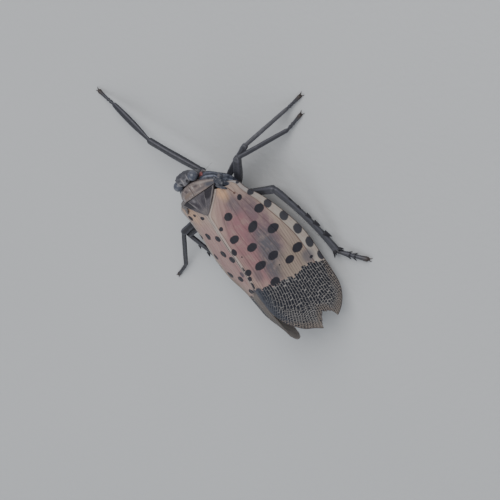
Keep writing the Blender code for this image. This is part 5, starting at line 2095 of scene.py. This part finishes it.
@dataclass(frozen=True)
class Leg:
    """One leg from its coxa to its claws: hip, knee, ankle and foot are the joints."""

    name: str
    build_of: LegBuild
    hip: Place
    knee: Place
    ankle: Place
    foot: Place
    belly: float = 4.1
    sole: float = 0.28
    hip_drop: float = 0.3
    # Where the tips of the hind tibia's spines stand along it, and how long the spines are
    spines: tuple[tuple[float, float], ...] = ((0.225, 0.62), (0.36, 0.75), (0.51, 0.95), (0.64, 1.08), (0.82, 1.22))
    splay: float = math.radians(37)
    spine_reach: float = 0.3

    @property
    def joints(self) -> tuple[np.ndarray, ...]:
        """Hip, knee, ankle and foot."""
        return tuple(np.array(place, float) for place in (self.hip, self.knee, self.ankle, self.foot))

    @staticmethod
    def edged(count: int = 24) -> np.ndarray:
        """A section with four raised edges, as femora and tibiae have."""
        angle = 2 * math.pi * np.arange(count) / count
        reach = 1 + 0.07 * np.cos(4 * angle + math.pi)
        return np.stack([np.cos(angle) * reach, np.sin(angle) * reach], axis=-1)

    def dressed(self, rows: np.ndarray, start: float, end: float) -> Shell:
        """A part of the leg with the facts that its finish reads.

        Args:
            rows: The points by row and column.
            start: Number of the joint where it starts, counted from the hip.
            end: Number of the joint where it ends.

        Returns:
            The part's surface.
        """
        count, wide = rows.shape[:2]
        angle = 2 * math.pi * np.arange(wide) / wide
        along = np.broadcast_to(np.linspace(start, end, count)[:, None], (count, wide))
        # How near each point lies to a raised edge, where the leg's finish paints a highlight
        raised = np.broadcast_to(0.5 - 0.5 * np.cos(4 * angle), (count, wide))
        facts = {"leg_place": np.stack([along, raised, np.zeros((count, wide))], axis=-1)}
        return Shell.woven(rows, True, True, facts).flipped()

    def thigh(self) -> list[Shell]:
        """Coxa, trochanter and femur."""
        hip, knee, _, _ = self.joints
        across, along = self.build_of.coxa_top
        top = np.array([math.copysign(across, hip[0]), along, self.belly + 0.3])
        low = hip - np.array([0, 0, self.hip_drop])
        coxa_shape = ((0, 0.95), (0.3, 1.1), (0.65, 1.0), (0.9, 0.72), (1, 0.6))
        thick = self.build_of.coxa
        coxa = limb(top, low, coxa_shape, (thick, thick * 0.92), ring(24, 2.3))
        toward = unit(knee - hip)
        trochanter = limb(low + toward * -0.2, hip + toward * 0.7, ((0, 0.9), (0.5, 1.05), (1, 0.85)), (0.3, 0.3), ring(20))
        size = self.build_of.femur
        shape, bow = self.build_of.femur_shape, (0.0, 0.0, self.build_of.femur_bow)
        femur = limb(hip + toward * 0.1, knee + toward * size * 0.55, shape, (size, size), self.edged(), bow, 64)
        return [self.dressed(coxa, 0, 0.3), self.dressed(trochanter, 0.2, 0.5), self.dressed(femur, 0.4, 1)]

    def shin(self) -> Shell:
        """The tibia."""
        _, knee, ankle, _ = self.joints
        toward = unit(ankle - knee)
        start = knee - toward * self.build_of.tibia[1] * 0.5
        end = ankle + toward * self.build_of.tibia[1] * 0.35
        of = self.build_of
        rows = limb(start, end, of.tibia_shape, of.tibia, self.edged(), self.shin_bow(), 90)
        return self.dressed(rows, 1, 2)

    def shin_bow(self) -> np.ndarray:
        """How far the middle of the tibia stands off the straight line."""
        out, up = self.build_of.tibia_bow
        return self.outward() * out + np.array([0.0, 0.0, up])

    def tarsus(self) -> list[Shell]:
        """Three tarsal pieces, of which the last stands on the floor with its pad."""
        _, _, ankle, foot = self.joints
        toe = unit(foot - ankle)
        run = np.linalg.norm(foot - ankle)
        first, second = self.build_of.tarsus_joints
        thick = self.build_of.tarsus
        flat = unit(np.array([toe[0], toe[1], 0.0]))
        ground = np.array([foot[0], foot[1], 0.0])
        wedge = ((0, 0.7), (0.3, 0.72), (0.75, 1.05), (1, 1.3))
        slim = ((0, 0.75), (0.4, 0.85), (0.85, 1.05), (1, 1.0))
        heel = ground - flat * 0.4 + np.array([0, 0, 0.3])
        pieces = [
            self.dressed(limb(ankle - toe * 0.12, ankle + toe * run * first, wedge, (thick, thick), ring(20)), 2, 2.5),
            self.dressed(
                limb(ankle + toe * run * (first - 0.06), ankle + toe * run * second, wedge, (thick, thick), ring(20)),
                2.4,
                2.8,
            ),
        ]
        joint = ankle + toe * run * (second - 0.06)
        path = np.linspace(joint, heel, 14)
        tail = np.linspace(heel, ground + flat * 0.12 + np.array([0, 0, 0.21]), 8)[1:]
        path = np.vstack([path, tail])
        share = np.linspace(0, 1, len(path))
        slender = through(slim, share) * thick * np.sqrt(np.clip(1 - (2 * share - 1) ** 8, 0.02, 1))
        rows, _ = swept(path, np.stack([slender, slender], axis=-1), ring(20))
        rows[..., 2] = np.maximum(rows[..., 2], 0.0)
        pieces.append(self.dressed(rows, 2.8, 4))
        pieces.append(self.pad(ground, flat))
        return pieces

    def pad(self, ground: np.ndarray, flat: np.ndarray) -> Shell:
        """The soft pad between the claws, flat on the floor.

        Args:
            ground: The point of the floor below the foot.
            flat: The direction of the toe along the floor.

        Returns:
            The pad's surface.
        """
        reach = np.linspace(0, 1, 14)
        centre = ground + np.outer(spread(-0.3, 0.2, 14), flat) + np.array([0, 0, 0.11])
        half = np.sqrt(np.clip(1 - (2 * reach - 1) ** 2, 0.001, 1))
        rows, _ = swept(centre, np.stack([half * self.sole * 0.85, half * 0.16], axis=-1), ring(20, 2.6))
        rows[..., 2] = np.maximum(rows[..., 2], 0.0)
        return self.dressed(rows, 3.6, 4)

    def claws(self) -> Shell:
        """The two hooked claws."""
        _, _, ankle, foot = self.joints
        toe = foot - ankle
        heading = math.atan2(toe[1], toe[0])
        ground = np.array([foot[0], foot[1], 0.0])
        hooks = []
        for turn in (-1, 1):
            angle = heading + turn * math.radians(32)
            way = np.array([math.cos(angle), math.sin(angle), 0.12])
            inward = np.array([math.cos(heading), math.sin(heading), 0.0])
            t = np.linspace(0, 1, 14)
            path = ground + inward * -0.02 + np.array([0, 0, 0.2])
            path = path + np.outer(t * 0.5, unit(way)) + np.outer(t * t * 0.12, inward) - np.outer(t**2.2 * 0.22, [0, 0, 1])
            thick = 0.095 * (1 - t) ** 0.7 + 0.008
            rows, _ = swept(path, np.stack([thick, thick], axis=-1), ring(12))
            rows[..., 2] = np.maximum(rows[..., 2], 0.0)
            hooks.append(Shell.woven(rows).flipped())
        return Shell.joined(hooks)

    def outward(self) -> np.ndarray:
        """The side of the tibia that its spines stand on."""
        hip, knee, ankle, _ = self.joints
        out = unit(np.cross(ankle - knee, [0, 0, 1]))
        return out * math.copysign(1, out[0] * hip[0])

    def spine_row(self) -> list[Shell]:
        """The spines along a hind tibia, the crown at its end and those beside the tarsus joints."""
        _, knee, ankle, foot = self.joints
        shin, out = unit(ankle - knee), self.outward()
        wide = self.build_of.tibia[0]
        way = shin * math.cos(self.splay) + out * math.sin(self.splay)
        made = []
        for place, length in self.spines:
            tip = knee + (ankle - knee) * place + out * (self.spine_reach + length * math.sin(self.splay))
            root = tip - way * length
            at = (root - knee) @ (ankle - knee) / ((ankle - knee) @ (ankle - knee))
            root = root + self.shin_bow() * 4 * at * (1 - at)
            made.append(cone(root, tip - root, np.linalg.norm(tip - root), length * 0.26))
        made += self.crown(ankle - shin * 0.35, shin, wide * 0.7, 0.95, 0.19, 8)
        toe = unit(foot - ankle)
        run = np.linalg.norm(foot - ankle)
        for joint in self.build_of.tarsus_joints:
            made += self.crown(ankle + toe * run * (joint - 0.1), toe, 0.18, 0.72, 0.14, 6)
        return made

    @staticmethod
    def crown(
        centre: np.ndarray, along: np.ndarray, radius: float, length: float, width: float, count: int
    ) -> list[Shell]:
        """Spines set round the end of a part of the leg.

        Args:
            centre: The middle of the ring that they stand on.
            along: The axis of the leg's part.
            radius: The ring's radius.
            length: The length of a spine.
            width: The radius of a spine's foot.
            count: How many spines.

        Returns:
            The spines.
        """
        across = unit(np.cross(along, [0, 0, 1]))
        up = np.cross(across, along)
        splay = math.radians(40)
        made = []
        for i in range(count):
            angle = 2 * math.pi * i / count
            out = across * math.cos(angle) + up * math.sin(angle)
            size = 1.0 if abs(math.cos(angle)) > 0.6 else 0.7
            way = along * math.cos(splay) + out * math.sin(splay)
            made.append(cone(centre + out * radius * 0.8, way, length * size, width * size))
        return made

    def bristles(self) -> Shell:
        """Fine hairs along the tibia and the tarsus, and a few along the femur."""
        draw = random.Random(self.name)
        hip, knee, ankle, foot = self.joints
        made = []
        for start, end, thick, count in (
            (hip, knee, self.build_of.femur, 40),
            (knee, ankle, self.build_of.tibia[1], 90),
            (ankle, foot, 0.19, 36),
        ):
            along = unit(end - start)
            across = unit(np.cross(along, [0, 0, 1]))
            up = np.cross(across, along)
            for _ in range(count):
                share, angle = draw.uniform(0.1, 0.93), draw.uniform(0, 2 * math.pi)
                out = across * math.cos(angle) + up * math.sin(angle)
                root = start + (end - start) * share + out * thick * 0.75
                way = along * 0.8 + out * draw.uniform(0.45, 0.75)
                length = draw.uniform(0.11, 0.2)
                if root[2] + unit(way)[2] * length > 0.03:
                    made.append(cone(root, way, length, 0.016, sides=4))
        return Shell.joined(made)

    def build(self, bench: Workbench) -> None:
        """Make the leg's pieces."""
        nodes = [f"{self.name}_{part}" for part in ("coxa", "femur", "tibia", "tarsus")]
        parts = [*self.thigh(), self.shin(), *self.tarsus()]
        skin = Shell.joined(parts).roughened(0.22, 0.012, 9)
        skin.points[:, 2] = np.maximum(skin.points[:, 2], 0.0)
        bench.piece(f"{self.name}_skin", skin, self.build_of.skin, nodes)
        bench.piece(f"{self.name}_claws", self.claws(), CLAW_SKIN)
        bench.piece(f"{self.name}_bristles", self.bristles(), CLAW_SKIN)
        if self.build_of.spiny:
            spines = Shell.joined(self.spine_row())
            spines.points[:, 2] = np.maximum(spines.points[:, 2], 0.005)
            bench.piece(f"{self.name}_spines", spines, SPINE_SKIN)


LEGS = {
    "foreleg_left": ((0.8, 0.72, 2.2), (4.62, -5.88, 2.42), (7.16, -11.76, 0.78), (8.24, -13.92, 0.3)),
    "foreleg_right": ((-2.1, 2.7, 2.67), (-7.98, 0.24, 4.39), (-13.27, -0.48, 0.62), (-15.26, -0.89, 0.3)),
    "midleg_left": ((2.1, 4.8, 2.6), (7.27, 5.7, 3.99), (12.68, 10.04, 0.74), (14.95, 10.79, 0.3)),
    "midleg_right": ((-2.9, 3.9, 2.6), (-7.21, 0.81, 6.02), (-11.58, 1.71, 0.66), (-13.86, 1.01, 0.3)),
    "hindleg_left": ((1.45, 6.0, 1.95), (7.95, 6.4, 2.6), (5.6, 17.0, 0.7), (4.7, 20.6, 0.3)),
    "hindleg_right": ((-1.45, 5.25, 1.95), (-6.92, 6.59, 3.17), (-7.58, 17.3, 0.79), (-10.14, 19.98, 0.3)),
}


@dataclass(frozen=True)
class Head:
    """The head with its beak, eyes and feelers, turned a little to the left about the neck."""

    turn: float = math.radians(6.7)
    neck_y: float = 0.6
    # Height, half width, half depth and y of the middle, from the crown down to the clypeus
    sections: tuple[tuple[float, float, float, float], ...] = (
        (7.5, 0.6, 0.5, -0.42),
        (7.4, 0.95, 0.72, -0.38),
        (6.95, 1.05, 0.78, -0.36),
        (6.2, 1.06, 0.78, -0.16),
        (5.5, 1.0, 0.66, 0.02),
        (4.8, 0.8, 0.5, 0.17),
        (4.2, 0.5, 0.36, 0.34),
        (3.75, 0.3, 0.26, 0.46),
        (3.4, 0.24, 0.24, 0.52),
    )
    beak: tuple[Place, ...] = (
        (0.5, 3.55, 0.25), (0.62, 3.3, 0.27), (1.0, 3.14, 0.27), (3.0, 3.1, 0.25), (5.0, 2.85, 0.2), (6.3, 2.2, 0.06),
    )
    eye_at: Place = (1.3, -0.06, 7.03)
    eye_radii: Place = (0.62, 0.62, 0.66)
    feeler_root: Place = (1.2, 0.74, 5.95)
    feeler: Stations = (
        (0.0, 0.2), (0.14, 0.24), (0.2, 0.32), (0.4, 0.4), (0.58, 0.35), (0.68, 0.18), (0.72, 0.13), (0.8, 0.14),
        (0.88, 0.06), (0.96, 0.022), (2.2, 0.008),
    )

    def matrix(self) -> Matrix:
        """The turn of the head about the neck."""
        neck = Vector((0, self.neck_y, 0))
        return Matrix.Translation(neck) @ Matrix.Rotation(self.turn, 4, "Z") @ Matrix.Translation(-neck)

    def skull(self) -> Shell:
        """The head from the crown to the clypeus."""
        heights = [row[0] for row in self.sections][::-1]
        columns = [[(row[0], row[k]) for row in self.sections][::-1] for k in (1, 2, 3)]
        side = np.linspace(heights[-1], heights[0], 110)
        wide, deep, middle = (through(column, side) for column in columns)
        inner = np.linspace(0.02, 1, 24)[:, None]
        section = ring(96, 2.5)
        crown = np.stack([np.outer(inner * wide[0], section[:, 0]), np.outer(inner * deep[0], section[:, 1])], -1)
        crown_rows = np.concatenate(
            [crown + np.array([0, middle[0]]), np.full((*crown.shape[:2], 1), heights[-1])], axis=-1
        )
        crown_rows[..., 2] += 0.04 * (inner**2 - 1)
        wall = np.stack([np.outer(wide, section[:, 0]), np.outer(deep, section[:, 1])], -1)
        wall[..., 1] += middle[:, None]
        wall_rows = np.concatenate([wall, np.broadcast_to(side[:, None, None], (*wall.shape[:2], 1))], axis=-1)
        rows = np.concatenate([crown_rows, wall_rows[1:]])
        places = np.concatenate([rows[..., :2], np.zeros((*rows.shape[:2], 1))], axis=-1)
        return Shell.woven(rows, True, True, {"plate_place": places})

    def reliefs(self) -> list[Relief]:
        """Keels, rims and pits of the head."""
        found = [
            Relief((0, -0.9, 7.5), (0, 0.2, 7.5), 0.07, 0.1),
            Relief((-0.55, -0.92, 7.45), (0.55, -0.92, 7.45), 0.07, 0.08),
            Relief((-0.75, 0.28, 7.42), (0.75, 0.28, 7.42), 0.07, 0.06),
            Relief((0, -1.1, 7.1), (0, -0.75, 5.4), 0.09, 0.05),
        ]
        for side in (-1, 1):
            found.append(Relief((side * 0.52, 0.0, 7.5), (side * 0.56, 0.1, 7.45), 0.2, -0.13))
            found.append(Relief((side * 0.4, -0.5, 7.5), (side * 0.42, -0.5, 7.5), 0.18, -0.08))
            found.append(Relief((side * 0.76, -0.85, 7.4), (side * 0.88, 0.15, 7.42), 0.07, 0.09))
            found.append(Relief((side * 0.55, -1.1, 7.1), (side * 0.45, -0.6, 5.2), 0.07, 0.07))
            found.append(Relief((side * 1.0, -0.55, 7.1), (side * 0.95, -0.4, 5.6), 0.09, 0.08))
            found.append(Relief((side * 1.05, 0.15, 6.45), (side * 1.05, 0.2, 6.3), 0.25, -0.06))
        return found

    def rostrum(self) -> Shell:
        """The beak, laid back under the thorax between the hips."""
        t = np.linspace(0, 1, 70)
        stations = np.linspace(0, 1, len(self.beak))
        y, z, radius = (through([(at, row[k]) for at, row in zip(stations, self.beak)], t) for k in range(3))
        path = np.stack([np.zeros(len(t)), y, z], axis=-1)
        groove = ring(20)
        groove[:, 1] *= 0.9
        rows, _ = swept(path, np.stack([radius, radius], axis=-1), groove)
        return Shell.woven(rows).flipped()

    def eye(self, side: Side) -> Shell:
        """A domed eye with a small simple eye below it."""
        domes = []
        for centre, radii in ((self.eye_at, self.eye_radii), ((1.0, 0.02, 6.28), (0.12, 0.1, 0.1))):
            angle = np.linspace(0, math.pi, 40)
            round_eye = ring(56)
            x = np.broadcast_to(np.cos(angle)[:, None], (40, 56))
            y = np.outer(np.sin(angle), round_eye[:, 0])
            z = np.outer(np.sin(angle), round_eye[:, 1])
            rows = np.array(centre) + np.stack([x, y, z], axis=-1) * np.array(radii)
            domes.append(Shell.woven(rows).flipped())
        dome = Shell.joined(domes)
        return dome if side is Side.LEFT else dome.mirrored()

    def antenna(self, side: Side) -> Shell:
        """A feeler: stem, bulb and a long thin bristle."""
        out = unit(np.array([0.86, -0.25, -0.3]))
        reach = np.array([at for at, _ in self.feeler])
        dense = np.concatenate([np.linspace(a, b, 7)[:-1] for a, b in zip(reach, reach[1:])] + [reach[-1:]])
        path = np.array(self.feeler_root) + np.outer(dense, out)
        path = path - np.outer(np.clip(dense - 0.9, 0, None) ** 2 * 0.12, [0, -0.6, 1.0])
        thick = through(self.feeler, dense)
        rows, _ = swept(path, np.stack([thick, thick], axis=-1), ring(24))
        along = np.broadcast_to(dense[:, None], rows.shape[:2])
        facts = {"feeler_place": np.stack([along, np.zeros_like(along), np.zeros_like(along)], axis=-1)}
        shell = Shell.woven(rows, True, True, facts).flipped()
        return shell if side is Side.LEFT else shell.mirrored()

    def build(self, bench: Workbench) -> None:
        """Make the head's pieces."""
        turn = self.matrix()
        skin = Shell.joined([self.skull().flipped().carved(self.reliefs()).roughened(0.2, 0.015, 4), self.rostrum()])
        bench.piece("head_skin", skin.turned(turn), HEAD_SKIN, ["head", "rostrum"])
        for side in Side:
            bench.piece(f"eye_lenses_{side.word}", self.eye(side).turned(turn), EYE_SKIN, [f"eye_{side.word}"])
            feeler = self.antenna(side).turned(turn)
            bench.piece(f"feeler_{side.word}", feeler, FEELER_SKIN, [f"antenna_{side.word}"])


@dataclass(frozen=True)
class WingBase:
    """The scale over a wing base, and the ribbed plates between it and the collar."""

    side: Side
    scale_at: Place = (2.98, 2.2, 6.05)
    scale_radii: Place = (0.62, 0.6, 0.3)
    left_shift: Place = (-0.02, 0.4, -0.1)
    ribs: tuple[tuple[Place, Place, float], ...] = (
        ((2.55, 1.1, 5.6), (2.95, 2.6, 6.35), 0.24),
        ((2.5, 1.0, 5.1), (3.15, 2.7, 5.75), 0.22),
        ((2.3, 1.2, 4.7), (3.0, 2.9, 5.2), 0.22),
        ((2.7, 2.2, 6.45), (3.55, 3.3, 6.05), 0.18),
    )

    def shell(self) -> Shell:
        """The scale and the ribs, which overlap."""
        angle = np.linspace(0, math.pi, 26)
        round_scale = ring(40, 2.3)
        x = np.outer(np.sin(angle), round_scale[:, 0])
        y = np.outer(np.sin(angle), round_scale[:, 1])
        z = np.broadcast_to(np.cos(angle)[:, None], x.shape)
        scale = np.array(self.scale_at) + np.stack([x, y, z], axis=-1) * np.array(self.scale_radii)
        parts = [Shell.woven(scale).flipped()]
        shape = ((0, 0.7), (0.3, 1.0), (0.7, 1.0), (1, 0.6))
        for start, end, thick in self.ribs:
            rows = limb(np.array(start), np.array(end), shape, (thick, thick), ring(20), (0.0, 0.0, 0.05), 30)
            parts.append(Shell.woven(rows).flipped())
        shell = Shell.joined(parts).roughened(0.16, 0.06, 6)
        if self.side is Side.LEFT:
            shell.points = shell.points + np.array(self.left_shift)
            return shell
        return shell.mirrored()

    def build(self, bench: Workbench) -> None:
        """Make the piece."""
        finish = FLAP_SKIN if self.side is Side.LEFT else SIDE_SKIN
        bench.piece(f"wing_base_{self.side.word}", self.shell(), finish, [f"tegula_{self.side.word}"])


@dataclass(frozen=True)
class Flank:
    """The speckled plates on the side of the thorax, from the collar and the wing base down to the hips."""

    side: Side
    plates: Drape = Drape(
        top=(
            (2.75, 1.6, 6.1), (2.95, 2.1, 6.15), (3.2, 2.6, 5.95), (3.6, 3.1, 5.5), (3.95, 3.6, 5.15),
            (4.2, 4.1, 4.95),
        ),
        bottom=(
            (2.7, 1.25, 4.7), (2.9, 1.8, 4.1), (3.2, 2.35, 3.6), (3.45, 2.8, 3.6), (3.85, 3.3, 3.8), (4.1, 3.7, 4.2),
        ),
        bulge=0.18,
        rib=0.06,
        ribs=4.5,
        depth=0.5,
    )
    # The left flank lies closer in, under a wing that is drawn down over it
    left_inset: float = 0.45

    def build(self, bench: Workbench) -> None:
        """Make the piece."""
        shell = self.plates.shell(self.side, 8)
        if self.side is Side.LEFT:
            shell.points[:, 0] -= self.left_inset
        bench.piece(f"flank_plates_{self.side.word}", shell, FLANK_SKIN)


@dataclass(frozen=True)
class Lamp:
    """A soft lamp: where it hangs, how wide it is and how strong, and its colour."""

    name: str
    at: Place
    size: float
    power: float
    colour: tuple[float, float, float] = (1.0, 1.0, 1.0)


@dataclass(frozen=True)
class Studio:
    """The pale floor, the soft light and the camera."""

    eye_point: Place = (-120.87, -22.74, 160.78)
    right: Place = (-0.70537, 0.56966, -0.42183)
    up: Place = (-0.3721, -0.80408, -0.46367)
    back: Place = (-0.60332, -0.1701, 0.77915)
    focal_pixels: float = 1682.92
    frame_pixels: float = 500.0
    sensor: float = 36.0
    floor_half: float = 1.5
    lamps: tuple[Lamp, ...] = (
        Lamp("key_lamp", (-260.0, -260.0, 380.0), 0.4, 2.7, (1.0, 0.99, 0.97)),
        Lamp("fill_lamp", (320.0, 160.0, 300.0), 0.5, 1.2, (0.94, 0.97, 1.0)),
    )
    sky: tuple[float, ...] = paint(0.86, 0.9, 0.96)
    sky_strength: float = 0.31

    def camera(self, frame: InsectFrame) -> None:
        """Set the camera where the photographer's was."""
        data = bpy.data.cameras.new("camera")
        data.sensor_width = self.sensor
        data.lens = self.focal_pixels * self.sensor / self.frame_pixels
        data.clip_start = 0.01
        data.clip_end = 10.0
        camera = bpy.data.objects.new("camera", data)
        axes = Matrix([self.right, self.up, self.back]).transposed().to_4x4()
        camera.matrix_world = Matrix.Translation(Vector(frame.carry(np.array(self.eye_point)))) @ axes
        bpy.context.scene.collection.objects.link(camera)
        bpy.context.scene.camera = camera

    def light(self, frame: InsectFrame) -> None:
        """Hang the lamps and set the sky."""
        for lamp in self.lamps:
            data = bpy.data.lights.new(lamp.name, "AREA")
            data.size = lamp.size
            data.energy = lamp.power
            data.color = lamp.colour
            light = bpy.data.objects.new(lamp.name, data)
            light.location = Vector(frame.carry(np.array(lamp.at)))
            light.rotation_mode = "QUATERNION"
            light.rotation_quaternion = (-light.location).to_track_quat("-Z", "Y")
            bpy.context.scene.collection.objects.link(light)
        world = bpy.data.worlds.new("sky")
        world.use_nodes = True
        background = world.node_tree.nodes["Background"]
        background.inputs["Color"].default_value = self.sky
        background.inputs["Strength"].default_value = self.sky_strength
        bpy.context.scene.world = world

    def floor(self) -> None:
        """Lay the floor."""
        mesh = bpy.data.meshes.new("floor")
        half = self.floor_half
        mesh.from_pydata([(-half, -half, 0), (half, -half, 0), (half, half, 0), (-half, half, 0)], [], [(0, 1, 2, 3)])
        mesh.materials.append(FLOOR.material())
        floor = bpy.data.objects.new("floor", mesh)
        bpy.context.scene.collection.objects.link(floor)

    def build(self, frame: InsectFrame) -> None:
        """Set the whole stage."""
        self.camera(frame)
        self.light(frame)
        self.floor()


def main() -> None:
    """Build every piece of the insect and its stage."""
    logging.basicConfig(level=logging.INFO, format="%(name)s: %(message)s")
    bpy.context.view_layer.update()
    frame = InsectFrame.beside("thorax", front=1.0)
    bench = Workbench(frame)
    shield = Shield()
    Trunk().build(bench)
    Head().build(bench)
    shield.build(bench)
    Collar().build(bench, shield)
    drawn_back = ((16.5, 0), (18.4, 0.12), (20.1, 0.5), (21.4, 0.75), (22.5, 0.8))
    wings = (
        Forewing(RIGHT_FOLD, RIGHT_WING_SKIN, shield, overlap=0.3, drawn_back=drawn_back),
        Forewing(LEFT_FOLD, LEFT_WING_SKIN, shield, overlap=0.12),
    )
    for wing in wings:
        fold = wing.fold
        Hindwing(fold).build(bench)
        wing.build(bench)
        WingBase(fold.side).build(bench)
        Flank(fold.side).build(bench)
    for name, joints in LEGS.items():
        of = LEG_BUILDS[name]
        Leg(name, of, *joints).build(bench)
    Studio().build(frame)
    LOG.info("%d pieces", bench.made)


if __name__ == "__main__":
    main()
